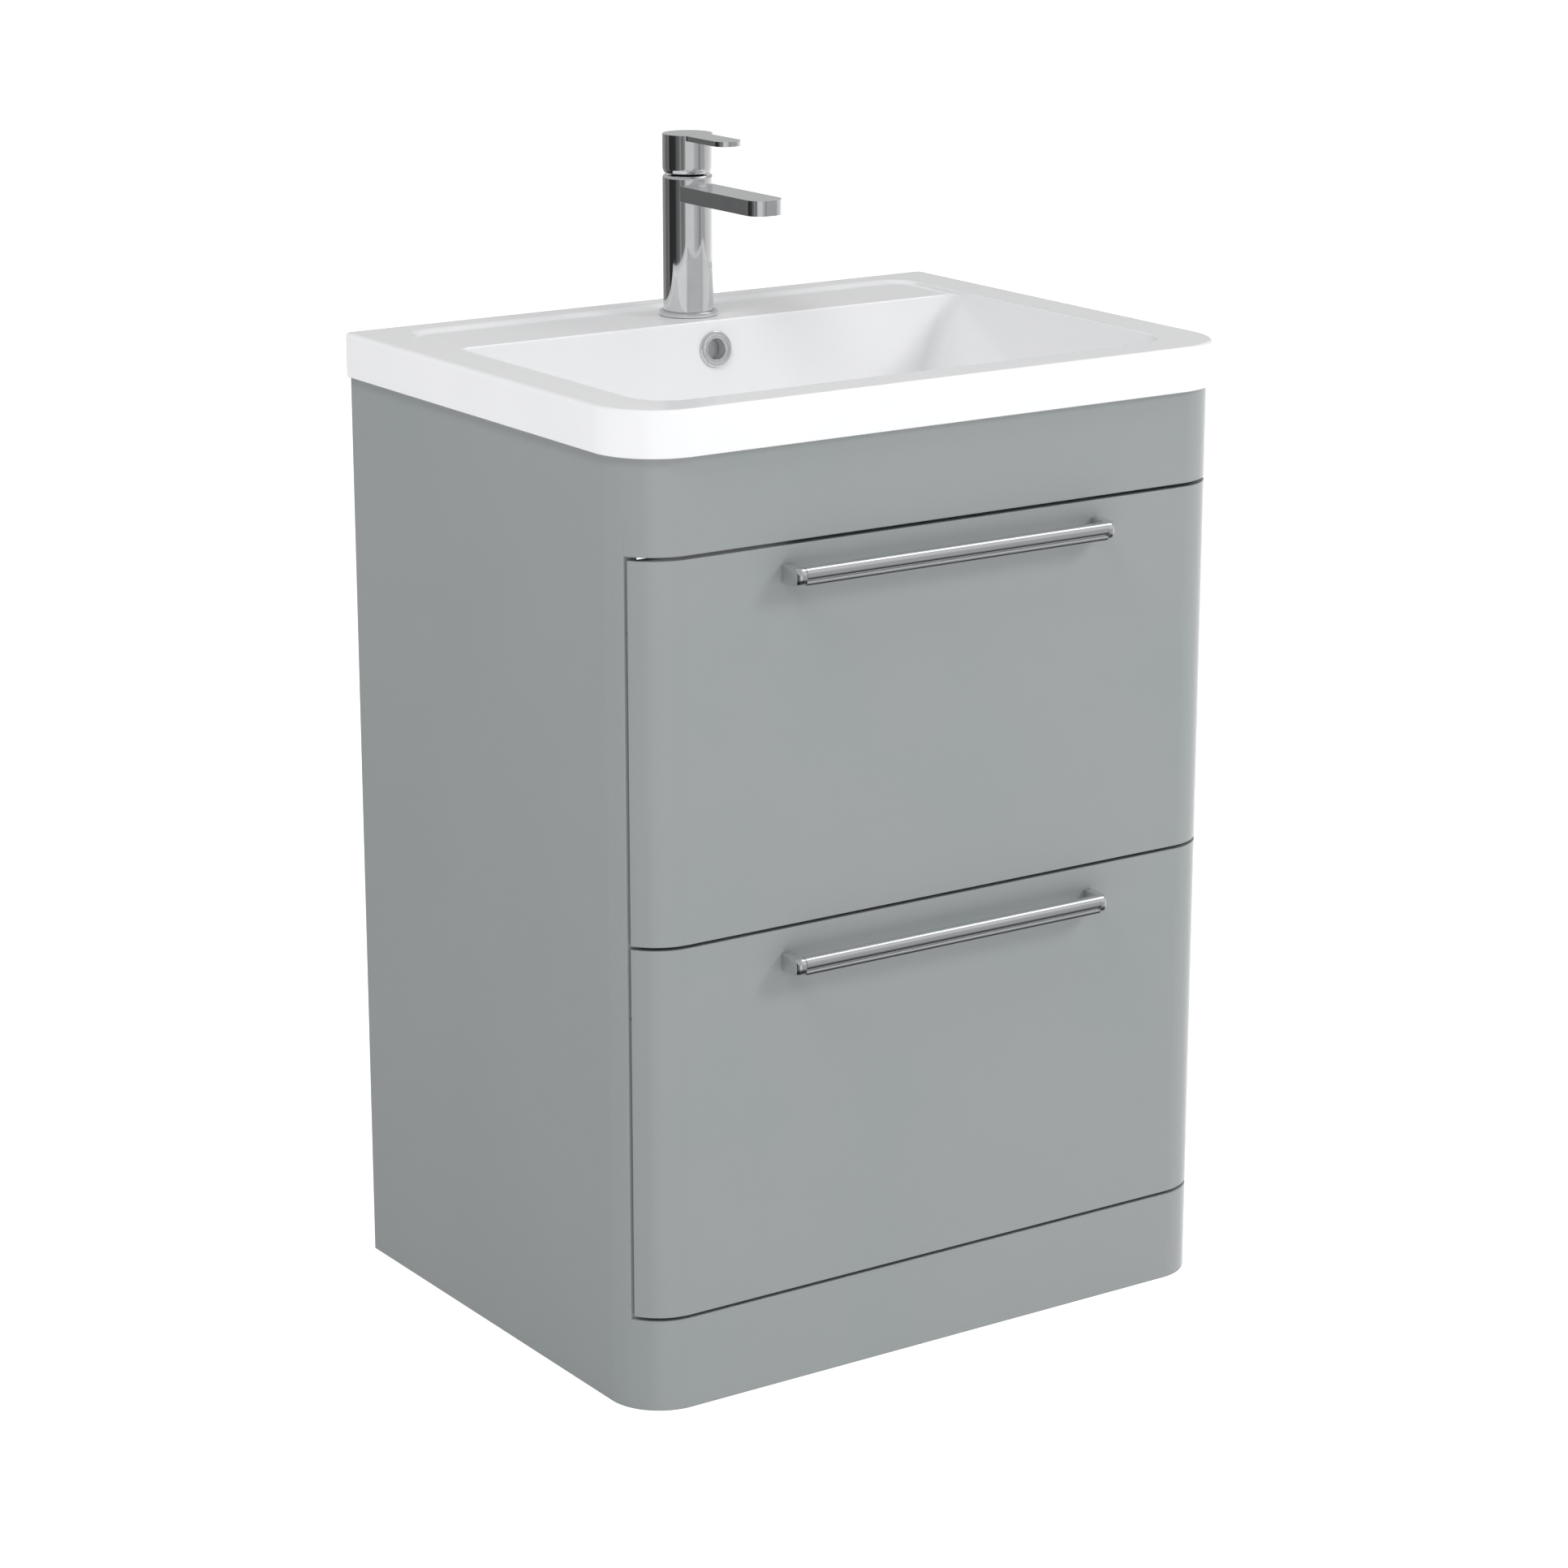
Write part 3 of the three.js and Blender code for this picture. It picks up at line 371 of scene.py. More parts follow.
def zinc_plate():
    """Bright zinc with soft crystal patches and draw lines."""
    finish = Finish("zinc_steel", (0.5, 0.52, 0.54), 0.34, Metallic=1.0)
    finish.vary_color(finish.cells(180, "Color"), (0.6, 0.62, 0.64), 0.2, 0.8)
    finish.vary_roughness(finish.noise(90, 4), 0.26, 0.42)
    finish.add_bump(finish.noise(1.0, 2, (1500, 20, 1500)), 0.01 * MM)
    return finish.material


def turned_brass():
    """Machined brass with turning marks and a little tarnish."""
    finish = Finish("brass", (0.56, 0.4, 0.17), 0.3, Metallic=1.0)
    finish.vary_color(finish.noise(120, 4), (0.42, 0.29, 0.13), 0.45, 0.8)
    finish.vary_roughness(finish.noise(300, 3), 0.22, 0.42)
    finish.add_bump(finish.noise(1.0, 2, (60, 60, 4000)), 0.02 * MM)
    return finish.material


def moulded_plastic():
    """Off-white moulded plastic with a spark-eroded texture."""
    finish = Finish("white_plastic", (0.68, 0.685, 0.67), 0.45)
    finish.vary_color(finish.noise(40, 3), (0.72, 0.72, 0.705), 0.3, 0.7)
    finish.vary_roughness(finish.noise(500, 2), 0.38, 0.55)
    finish.add_bump(finish.noise(1400, 2), 0.02 * MM)
    return finish.material


def clear_rubber():
    """Soft clear pads, slightly cloudy."""
    finish = Finish("clear_rubber", (0.6, 0.6, 0.585), 0.2, Transmission_Weight=0.9, IOR=1.42)
    finish.vary_color(finish.noise(500, 2), (0.66, 0.66, 0.645), 0.3, 0.7)
    finish.vary_roughness(finish.noise(900, 2), 0.14, 0.26)
    finish.add_bump(finish.noise(1800, 2), 0.01 * MM)
    return finish.material


MATERIALS = {
    "grey_lacquer": lacquer(),
    "carcass_board": board_facing("carcass_board", (0.41, 0.42, 0.41), (0.43, 0.44, 0.43)),
    "drawer_board": board_facing("drawer_board", (0.62, 0.63, 0.61), (0.65, 0.655, 0.64)),
    "white_ceramic": glazed_ceramic(),
    "chrome": chrome_plate(),
    "brushed_bar": brushed_metal(),
    "zinc_steel": zinc_plate(),
    "brass": turned_brass(),
    "white_plastic": moulded_plastic(),
    "clear_rubber": clear_rubber(),
}
SLOT_OF = {part["node"]: part["material_slot"] for part in frame["record"]["subparts"]}
BODY_OF = {node: body for body, nodes in frame["record"]["behaviour"]["bodies"].items() for node in nodes}


def stands_for(obj, node, sharp=35):
    """obj takes the node's place: its body, its material slot and its finish."""
    slot = SLOT_OF[node]
    obj.data.materials.clear()
    obj.data.materials.append(MATERIALS[slot])
    shade(obj, sharp)
    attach(obj, BODY_OF[node])
    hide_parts(node)
    return obj


# ---- Cabinet shell ----
def wrapped_plan(depth):
    """Plan of a front piece that wraps round both corners and is cut off depth behind the front."""
    centre_x = HALF_WIDTH - CORNER_RADIUS
    centre_y = FRONT_Y + CORNER_RADIUS
    cut = math.degrees(math.asin(1 - depth / CORNER_RADIUS))
    left = arc(-centre_x, centre_y, CORNER_RADIUS, 180 + cut, 270, 28)
    right = arc(centre_x, centre_y, CORNER_RADIUS, 270, 360 - cut, 28)
    return left + right


def side_plan(sign):
    centre_x = HALF_WIDTH - CORNER_RADIUS
    cut = math.degrees(math.asin(1 - (SPLIT_Y - FRONT_Y) / CORNER_RADIUS))
    curve = arc(centre_x, FRONT_Y + CORNER_RADIUS, CORNER_RADIUS, -cut, 0, 10)
    outline = [(INNER_HALF_WIDTH, BACK_Y), (INNER_HALF_WIDTH, SPLIT_Y), *curve, (HALF_WIDTH, BACK_Y)]
    return [(sign * x, y) for x, y in outline]


EDGE_ROUND = 0.9 * MM


def cabinet_shell():
    """Sides, plinth and fascia meet flush; only the edges round the drawer opening are eased."""
    split_x = side_plan(1)[2][0]

    def borders_opening(start, end):
        upright = abs(start.z - end.z) > 1 * MM
        middle = (start + end) / 2
        at_split = abs(middle.y - SPLIT_Y) < 0.1 * MM and abs(abs(middle.x) - split_x) < 0.1 * MM
        return upright and at_split and PLINTH_TOP < middle.z < FASCIA_FOOT

    for sign, name in ((-1, "side_panel_left"), (1, "side_panel_right")):
        levels = [0, PLINTH_TOP, FASCIA_FOOT, CABINET_TOP]
        panel = prism(name + "_fine", side_plan(sign), levels)
        round_edges(panel, EDGE_ROUND, pick=borders_opening)
        stands_for(panel, name)
    for name, edge_z in (("plinth", PLINTH_TOP), ("top_fascia", FASCIA_FOOT)):
        low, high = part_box(name)
        rail = prism(name + "_fine", wrapped_plan(SPLIT_Y - FRONT_Y), [low.z, high.z])

        def borders_gap(start, end):
            level = abs(start.z - edge_z) < 0.1 * MM and abs(end.z - edge_z) < 0.1 * MM
            return level and min(start.y, end.y) < SPLIT_Y - 0.1 * MM

        round_edges(rail, EDGE_ROUND, pick=borders_gap)
        stands_for(rail, name)


def drawer_front(level):
    name = f"drawer_{level}_front"
    low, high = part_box(name)
    front = prism(name + "_fine", wrapped_plan(high.y - low.y), [low.z, high.z])
    holes = []
    for side in ("left", "right"):
        screw_low, screw_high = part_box(f"handle_{level}_screw_{side}")
        x, z = (screw_low.x + screw_high.x) / 2, (screw_low.z + screw_high.z) / 2
        radius = (screw_high.x - screw_low.x) / 2 + 0.3 * MM
        place = Matrix.Translation((x, high.y, z)) @ Matrix.Rotation(math.radians(90), 4, "X")
        profile = [(0, -MM), (radius, -MM), (radius, 2.7 * MM), (2.3 * MM, 2.7 * MM)]
        profile += [(2.3 * MM, 24 * MM), (0, 24 * MM)]
        holes.append(turned("hole", profile, 40, place))
    carve(front, *holes)
    round_edges(front, EDGE_ROUND)
    stands_for(front, name)


# ---- Handles ----
def bar_section():
    """Bar section as (distance from the drawer front, height): a crowned face over a groove and a lip."""
    points = [(17, -6.8), (17, 6.5), (17.3, 7.2), (18, 7.5)]
    points += bezier((18, 7.5), (22.6, 7.5), (25, 6.0), (25, 1.6), 16)
    points += bezier((25, 1.6), (25, -0.8), (24.6, -2.1), (23.3, -2.5), 8)
    points += [(22.6, -2.7), (22.45, -3.1), (22.7, -3.4)]
    points += bezier((22.7, -3.4), (23.9, -3.4), (24.2, -3.8), (24.2, -4.6), 6)
    points += bezier((24.2, -4.6), (24.2, -6.2), (23.6, -7.5), (22, -7.5), 8)
    points += [(17.7, -7.5)]
    return [(out * MM, up * MM) for out, up in points]


def bracket_section():
    """Bracket section as (distance from the drawer front, height): a leg whose nose caps the bar."""
    points = [(0.2, -7.2), (0.2, 7.2), (0.5, 7.8), (1.2, 8), (6, 8), (12, 7.8), (17, 7.5)]
    points += bezier((17, 7.5), (22.6, 7.5), (25, 5.6), (25, 0), 14)
    points += bezier((25, 0), (25, -5.4), (22, -7.5), (17, -7.5), 14)
    points += [(12, -7.8), (6, -8), (1.2, -8), (0.5, -7.8)]
    return [(out * MM, up * MM) for out, up in points]


NOSE_ROUND = 5 * MM
FLANK_ROUND = 1 * MM


def handle(level):
    bar_low, bar_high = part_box(f"handle_{level}_bar")
    middle = (bar_low.z + bar_high.z) / 2
    rings = []
    for x in (bar_low.x, bar_high.x):
        rings.append([(x, FRONT_Y - out, middle + up) for out, up in bar_section()])
    stands_for(loft(f"handle_{level}_bar_fine", rings), f"handle_{level}_bar", sharp=28)
    for side, sign in (("left", -1), ("right", 1)):
        name = f"handle_{level}_bracket_{side}"
        low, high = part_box(name)
        width = high.x - low.x
        inner_x = high.x if sign < 0 else low.x
        rings = []
        steps = [k / 4 * (width - NOSE_ROUND) for k in range(4)]
        steps += [width - NOSE_ROUND * (1 - math.sin(math.radians(k * 7.5))) for k in range(13)]
        for along in steps:
            past_nose = max(0, along - (width - NOSE_ROUND))
            past_flank = max(0, along - (width - FLANK_ROUND))
            nose = NOSE_ROUND - math.sqrt(NOSE_ROUND**2 - min(past_nose, NOSE_ROUND) ** 2)
            flank = FLANK_ROUND - math.sqrt(max(0, FLANK_ROUND**2 - past_flank**2))
            ring = []
            for out, up in bracket_section():
                share = min(1, max(0, (out - 12 * MM) / (13 * MM)))
                depth = out - nose * share * share * (3 - 2 * share)
                height = up * (1 - flank / (8 * MM))
                ring.append((inner_x + sign * along, FRONT_Y - depth, middle + height))
            rings.append(ring)
        stands_for(loft(name + "_fine", rings), name, sharp=40)


# ---- Basin ----
def wall_inset(where, drop, grow=0.0, foot=0.0):
    return BOWL_INSET[where] - grow + BOWL_SLOPE[where] * drop + foot


def smooth(t):
    return t * t * (3 - 2 * t)


def ring_points(inset, drop, radius):
    """One ring of the basin: its inset and its drop are given for the side, front and back."""
    low = (basin_low.x + inset["side"], basin_low.y + inset["front"])
    high = (basin_high.x - inset["side"], basin_high.y - inset["back"])
    plan = rounded_rectangle(low, high, radius["front"], radius["back"], CORNER_STEPS)
    points = []
    for index, (x, y) in enumerate(plan):
        corner, step = divmod(index, CORNER_STEPS + 1)
        turn = smooth(step / CORNER_STEPS)
        start = ("side", "front", "side", "back")[corner]
        stop = ("front", "side", "back", "side")[corner]
        fall = drop[start] * (1 - turn) + drop[stop] * turn
        points.append(Vector((x, y, RIM_Z - fall)))
    return points


def even(value):
    return {"side": value, "front": value, "back": value}


def outer_rings():
    """From the foot of the skirt up the outside and round the rim's edge."""
    path = [(0.8 * MM, SKIRT_DROP), (0, SKIRT_DROP - 0.8 * MM), (0, RIM_EDGE + 15 * MM), (0, RIM_EDGE)]
    path += [
        (RIM_EDGE * (1 - math.cos(math.radians(a))), RIM_EDGE * (1 - math.sin(math.radians(a))))
        for a in range(15, 91, 15)
    ]
    path += [(8 * MM, 0), (20 * MM, 0)]
    rings = []
    for inset, drop in path:
        front = RIM_CORNER["front"] - inset * 0.62
        back = max(RIM_CORNER["back"] - inset, 2 * MM) if inset < 8 * MM else inset * 0.9
        rings.append(ring_points(even(inset), even(drop), {"front": front, "back": back}))
    return rings


def rim_to_bowl_rings():
    """The rim's inner edge, the cove and ledge behind the bowl, and the bowl's own edge."""
    edge_arcs = {}
    for where in ("side", "front"):
        corner = (wall_inset(where, 0), 0)
        below = (wall_inset(where, 10 * MM), 10 * MM)
        edge_arcs[where] = fillet((0, 0), corner, below, BOWL_EDGE, 6)
    rings = []
    cove_steps = 9
    for step in range(cove_steps + 1):
        t = step / cove_steps
        inset, drop = {}, {}
        inset["back"] = RECESS_BACK - COVE["ahead"] + COVE["width"] * t
        drop["back"] = LEDGE_DROP * smooth(t)
        for where, points in edge_arcs.items():
            if step < len(points):
                inset[where], drop[where] = points[step]
            else:
                left = (step - len(points) + 1) / (cove_steps - len(points) + 1)
                last = points[-1][1]
                drop[where] = last + (LEDGE_DROP - last) * left
                inset[where] = wall_inset(where, drop[where])
        radius = {"front": BOWL_CORNER["front"] + 1 * MM, "back": (27 - 7 * t) * MM}
        rings.append(ring_points(inset, drop, radius))
    back_corner = (wall_inset("back", LEDGE_DROP), LEDGE_DROP)
    back_below = (wall_inset("back", 20 * MM), 20 * MM)
    back_edge = fillet((0, LEDGE_DROP), back_corner, back_below, BOWL_EDGE, 6)
    back_path = [(60 * MM, LEDGE_DROP), (95 * MM, LEDGE_DROP), *back_edge]
    for step, (back_inset, back_drop) in enumerate(back_path):
        fall = LEDGE_DROP + (step + 1) * 0.12 * MM
        inset = {where: wall_inset(where, fall) for where in ("side", "front")}
        drop = {"side": fall, "front": fall, "back": back_drop}
        inset["back"] = back_inset
        corner_radius = BOWL_CORNER["back"] + (3 - 3 * step / len(back_path)) * MM
        rings.append(ring_points(inset, drop, {"front": BOWL_CORNER["front"], "back": corner_radius}))
    return rings


def bowl_rings(grow, depth, foot_steps):
    """The bowl's wall and round foot, from just under the edge down to the floor."""
    straight = depth - BOWL_FOOT
    path = [(straight * share, 0.0) for share in (0.08, 0.25, 0.5, 0.75, 1.0)]
    for step in range(1, foot_steps + 1):
        angle = math.radians(90 * step / foot_steps)
        path.append((straight + BOWL_FOOT * math.sin(angle), BOWL_FOOT * (1 - math.cos(angle))))
    rings = []
    for drop, foot in path:
        inset = {where: wall_inset(where, drop, grow, foot) for where in BOWL_INSET}
        shrink = 1 - 0.3 * drop / depth
        radius = {corner: (BOWL_CORNER[corner] + grow) * shrink for corner in BOWL_CORNER}
        rings.append(ring_points(inset, even(drop), radius))
    return rings


def circle_inside(ring, centre, radius, z):
    """A circle whose points lie towards the points of a ring round it."""
    points = []
    for point in ring:
        out = Vector((point.x - centre.x, point.y - centre.y)).normalized() * radius
        points.append(Vector((centre.x + out.x, centre.y + out.y, z)))
    return points


def between(one, two, share):
    return [a.lerp(b, share) for a, b in zip(one, two)]


def overflow_place():
    y = basin_high.y - wall_inset("back", OVERFLOW_DROP)
    tilt = math.radians(90) - math.atan(BOWL_SLOPE["back"])
    return Matrix.Translation((0, y, RIM_Z - OVERFLOW_DROP)) @ Matrix.Rotation(tilt, 4, "X")


def cylinder(name, radius, foot, top, place, steps=64):
    return turned(name, [(0, foot), (radius, foot), (radius, top), (0, top)], steps, place)


def basin():
    waste_low, waste_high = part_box("waste_plug")
    waste = (waste_low + waste_high) / 2
    floor_z = RIM_Z - BOWL_DEPTH
    inside = bowl_rings(0.0, BOWL_DEPTH, 12)
    outside = bowl_rings(BOWL_WALL, BOWL_DEPTH + BOWL_FLOOR, 8)
    mouth = circle_inside(inside[-1], waste, WASTE_HOLE + MM, floor_z)
    throat_top = circle_inside(inside[-1], waste, WASTE_HOLE, floor_z - MM)
    throat_foot = circle_inside(inside[-1], waste, WASTE_HOLE, floor_z - BOWL_FLOOR)
    rings = outer_rings() + rim_to_bowl_rings() + inside
    rings += [between(inside[-1], mouth, 0.4), between(inside[-1], mouth, 0.8), mouth]
    rings += [throat_top, throat_foot, between(throat_foot, outside[-1], 0.6)]
    rings += [ring for ring in reversed(outside) if RIM_Z - ring[0].z > SKIN]
    under = {where: wall_inset(where, SKIN, BOWL_WALL) for where in BOWL_INSET}
    rings.append(ring_points(under, even(SKIN), {"front": 48 * MM, "back": 26 * MM}))
    skirt_radius = {"front": RIM_CORNER["front"] - SKIRT, "back": RIM_CORNER["back"]}
    for drop in (SKIN, SKIRT_DROP):
        rings.append(ring_points(even(SKIRT), even(drop), skirt_radius))
    bowl = loft("basin_fine", rings, closed=True)
    overflow = cylinder("cut", 10 * MM, -25 * MM, 10 * MM, overflow_place(), 48)
    tap_hole = cylinder("cut", 17.5 * MM, -30 * MM, 10 * MM, Matrix.Translation(TAP_AXIS), 48)
    carve(bowl, overflow, tap_hole)
    stands_for(bowl, "basin", sharp=50)


def overflow_channel():
    """The cast passage behind the bowl that takes the overflow's water down to the waste."""
    half, wall, gap = 16 * MM, 4 * MM, 2 * MM
    top, foot = RIM_Z - SKIN + 0.2 * MM, RIM_Z - 86 * MM
    rings = []
    for z in (foot, top):
        face = basin_high.y - wall_inset("back", RIM_Z - z, BOWL_WALL) - 0.4 * MM
        plan = [(-half - wall, face), (-half, face), (-half, face + gap), (half, face + gap)]
        plan += [(half, face), (half + wall, face), (half + wall, face + gap + wall)]
        plan += [(-half - wall, face + gap + wall)]
        rings.append([(x, y, z) for x, y in plan])
    channel = loft("overflow_channel", rings)
    channel.data.materials.append(MATERIALS["white_ceramic"])
    round_edges(channel, 1 * MM, 3)
    shade(channel)
    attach(channel, BODY_OF["basin"])


def overflow_ring():
    """A chrome ring with a dished face, pressed into the overflow hole."""
    profile = [(9, -7), (9.7, -7), (9.7, 0.3), (15.4, 0.3), (15.9, 0.6), (16, 1.1), (15.8, 1.8)]
    profile += [(15.2, 2.3), (14.4, 2.5), (13.4, 2.4), (12.4, 2.0), (11.5, 1.8), (10.6, 1.9)]
    profile += [(10, 2.1), (9.5, 2.0), (9.15, 1.6), (9, 1)]
    ring = turned("overflow_ring_fine", [(r * MM, z * MM) for r, z in profile], 96, overflow_place())
    stands_for(ring, "overflow_ring", sharp=45)


# ---- Waste ----
def threaded(radius, depth, foot, top, pitch):
    """Profile of a thread's ridges from foot up to top, as level rings."""
    points = []
    turns = int((top - foot) / pitch)
    for turn in range(turns):
        low = foot + turn * pitch
        points += [(radius - depth, low), (radius - depth, low + 0.2 * pitch)]
        points += [(radius, low + 0.5 * pitch), (radius, low + 0.7 * pitch)]
    points.append((radius - depth, foot + turns * pitch))
    return points


def waste():
    low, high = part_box("waste_body")
    centre = Vector(((low.x + high.x) / 2, (low.y + high.y) / 2, RIM_Z - BOWL_DEPTH))
    foot = low.z - centre.z
    place = Matrix.Translation(centre)
    profile = [(17 * MM, foot + MM), (17.6 * MM, foot), (19 * MM, foot)]
    profile += threaded(20.5 * MM, 0.9 * MM, foot + 1.5 * MM, -13 * MM, 2 * MM)
    profile += [(20.5 * MM, -12 * MM), (22.2 * MM, -12 * MM), (22.2 * MM, 0.3 * MM), (32.6 * MM, 0.3 * MM)]
    profile += [(33 * MM, 0.7 * MM), (32.8 * MM, 1.5 * MM), (31.6 * MM, 2.5 * MM), (29.6 * MM, 3 * MM)]
    profile += [(22 * MM, 3 * MM), (20.4 * MM, 2.7 * MM), (18.2 * MM, 1.2 * MM), (17 * MM, 0)]
    body = turned("waste_body_fine", profile, 96, place)
    stands_for(body, "waste_body", sharp=40)
    hub = [(5.3, -30), (8, -30), (8, -22), (5.3, -22)]
    spider = turned("waste_spider", [(r * MM, z * MM) for r, z in hub], 40, place)
    spider.data.materials.append(MATERIALS["chrome"])
    shade(spider)
    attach(spider, BODY_OF["waste_body"])
    for turn in range(4):
        half, foot_z, top_z = 2 * MM, -30 * MM, -22 * MM
        outline = [(7.6 * MM, -half), (17.3 * MM, -half), (17.3 * MM, half), (7.6 * MM, half)]
        spoke = prism(f"waste_spoke_{turn + 1}", outline, [foot_z, top_z])
        spoke.data.transform(place @ Matrix.Rotation(math.radians(90 * turn), 4, "Z"))
        spoke.data.materials.append(MATERIALS["chrome"])
        round_edges(spoke, 0.4 * MM, 2)
        shade(spoke)
        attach(spoke, BODY_OF["waste_body"])


def waste_plug():
    low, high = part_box("waste_plug")
    radius = (high.x - low.x) / 2
    centre = Vector(((low.x + high.x) / 2, (low.y + high.y) / 2, high.z))
    stem = 5 * MM
    profile = [(0, low.z - high.z), (stem - 0.5 * MM, low.z - high.z), (stem, low.z - high.z + 0.5 * MM)]
    profile += [(stem, -4 * MM), (radius - 2 * MM, -4 * MM)]
    profile += [(radius + 2 * MM * (math.cos(math.radians(a)) - 1), -2 * MM + 2 * MM * math.sin(math.radians(a)))
                for a in range(-75, 76, 15)]
    profile += [(radius * share, -0.6 * MM * share**2) for share in (0.8, 0.6, 0.4, 0.2)]
    profile += [(0, 0)]
    plug = turned("waste_plug_fine", profile, 96, Matrix.Translation(centre))
    stands_for(plug, "waste_plug", sharp=50)


def hexagon_nut(node, bore):
    """A hexagon nut with chamfered corners."""
    low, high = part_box(node)
    centre = Vector(((low.x + high.x) / 2, (low.y + high.y) / 2, low.z))
    radius = (high.x - low.x) / 2
    plan = arc(0, 0, radius, 0, 360, 6)[:-1]
    nut = prism(node + "_fine", plan, [0, high.z - low.z])
    nut.data.transform(Matrix.Translation(centre))
    carve(nut, cylinder("cut", bore, -5 * MM, 30 * MM, Matrix.Translation(centre)))
    round_edges(nut, 0.7 * MM)
    stands_for(nut, node)


# ---- Tap ----
def armed_column(name, below, above, radius, arm, arm_foot, arm_top, half, steps=48):
    """A turned column with an arm that leaves its front, flat above and below.

    below and above are the turned profile's points under and over the arm, from the inner start
    to the inner end. arm is the arm's plan, from its left root round the tip to its right root."""
    root = math.degrees(math.asin(half / radius))
    front = arc(0, 0, 1, 270 - root, 270 + root, steps // 3)
    back = arc(0, 0, 1, 270 + root, 630 - root, steps)[1:-1]
    unit = front + back
    count = len(unit)
    vertices, faces = [], []

    def add_ring(r, z):
        vertices.extend((x * r, y * r, z) for x, y in unit)
        return len(vertices) - count

    def skin(one, two, first=0, last=count):
        for k in range(first, last):
            after = (k + 1) % count
            faces.append((one + k, one + after, two + after, two + k))

    low_rings = [add_ring(r, z) for r, z in below if r > 0] + [add_ring(radius, arm_foot)]
    high_rings = [add_ring(radius, arm_top)] + [add_ring(r, z) for r, z in above if r > 0]
    for rings in (low_rings, high_rings):
        for one, two in zip(rings, rings[1:]):
            skin(one, two)
    foot_ring, top_ring = low_rings[-1], high_rings[0]
    last_front = len(front) - 1
    skin(foot_ring, top_ring, last_front, count)
    arm_start = len(vertices)
    vertices.extend((x, y, arm_foot) for x, y in arm)
    vertices.extend((x, y, arm_top) for x, y in arm)
    reach = len(arm)
    for start, ring in ((arm_start, foot_ring), (arm_start + reach, top_ring)):
        faces.append(tuple(range(start, start + reach)) + tuple(ring + k for k in range(last_front, -1, -1)))
    lower = [foot_ring] + [arm_start + k for k in range(reach)] + [foot_ring + last_front]
    upper = [top_ring] + [arm_start + reach + k for k in range(reach)] + [top_ring + last_front]
    for k in range(len(lower) - 1):
        faces.append((lower[k], lower[k + 1], upper[k + 1], upper[k]))
    faces.append(tuple(low_rings[0] + k for k in range(count)))
    faces.append(tuple(high_rings[-1] + k for k in range(count)))
    return make_object(name, vertices, faces)


def arm_plan(arm, tip_y):
    """Plan of the spout or the lever's blade: the round of its left corner, then of its right."""
    tip = tip_y - TAP_AXIS.y
    half, radius = arm["half"], arm["corner"]
    left = arc(-half + radius, tip + radius, radius, 180, 270, 18)
    right = arc(half - radius, tip + radius, radius, 270, 360, 18)
    return left + right


def bevel_curve(radius, end_z, bevel, sign):
    """A softly rounded bevel from the column's side to its end face at end_z."""
    points = []
    for step in range(7):
        angle = math.radians(15 * step)
        inward = bevel["width"] * (1 - math.cos(angle)) ** 0.8
        along = bevel["height"] * (1 - math.sin(angle) ** 0.8)
        points.append((radius - inward, end_z + sign * along))
    return points


def place_on_tap(obj):
    obj.data.transform(Matrix.Translation(TAP_AXIS))
    return obj


def tap_body():
    bore_floor = TAP_TOP - 42 * MM
    below = [(SHANK["bore"], 18 * MM), (SHANK["bore"], SHANK["foot"])]
    below += threaded(SHANK["radius"], 0.8 * MM, SHANK["foot"], -1.5 * MM, 1.5 * MM)
    below += [(SHANK["radius"], -1 * MM), (SHANK["radius"], 0.3 * MM), (TAP_RADIUS, 0.3 * MM)]
    above = bevel_curve(TAP_RADIUS, TAP_TOP, TAP_BEVEL, -1)
    above += [(TAP_BORE, TAP_TOP), (TAP_BORE, bore_floor)]
    plan = arm_plan(SPOUT, tap_low.y)
    levels = (SPOUT["foot"], SPOUT["top"])
    body = armed_column("tap_body_fine", below, above, TAP_RADIUS, plan, *levels, SPOUT["half"], 72)
    aerator_low, aerator_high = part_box("tap_aerator")
    outlet_y = (aerator_low.y + aerator_high.y) / 2 - TAP_AXIS.y
    outlet_radius = (aerator_high.x - aerator_low.x) / 2 + 0.3 * MM
    outlet_place = Matrix.Translation((0, outlet_y, SPOUT["foot"]))
    carve(body, cylinder("cut", outlet_radius, -MM, 7.3 * MM, outlet_place))
    place_on_tap(body)
    round_edges(body, 0.7 * MM, 3, 40)
    stands_for(body, "tap_body")


def tap_lever():
    foot = lever_low.z - LEDGE_Z
    headroom = foot + LEVER["headroom"]
    below = [(LEVER["mouth"], headroom), (LEVER["mouth"], foot)]
    below += list(reversed(bevel_curve(TAP_RADIUS, foot, LEVER_BEVEL, 1)))
    plan = arm_plan(BLADE, lever_low.y)
    levels = (LEVER_TOP - BLADE["thickness"], LEVER_TOP)
    lever = armed_column("tap_lever_fine", below, [], TAP_RADIUS, plan, *levels, BLADE["half"], 72)
    place_on_tap(lever)
    round_edges(lever, 0.6 * MM, 3, 40)
    stands_for(lever, "tap_lever")


def tap_base_ring():
    radius = (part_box("tap_base_ring")[1].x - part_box("tap_base_ring")[0].x) / 2
    bore = TAP_RADIUS + 0.3 * MM
    profile = [(bore, 0.3 * MM), (radius - 0.3 * MM, 0.3 * MM), (radius, 0.6 * MM), (radius, 3.3 * MM)]
    profile += [(radius - 0.35 * MM, 4.1 * MM), (radius - 1.1 * MM, 4.5 * MM), (bore, 4.5 * MM)]
    stands_for(place_on_tap(turned("tap_base_ring_fine", profile, 96)), "tap_base_ring", sharp=50)


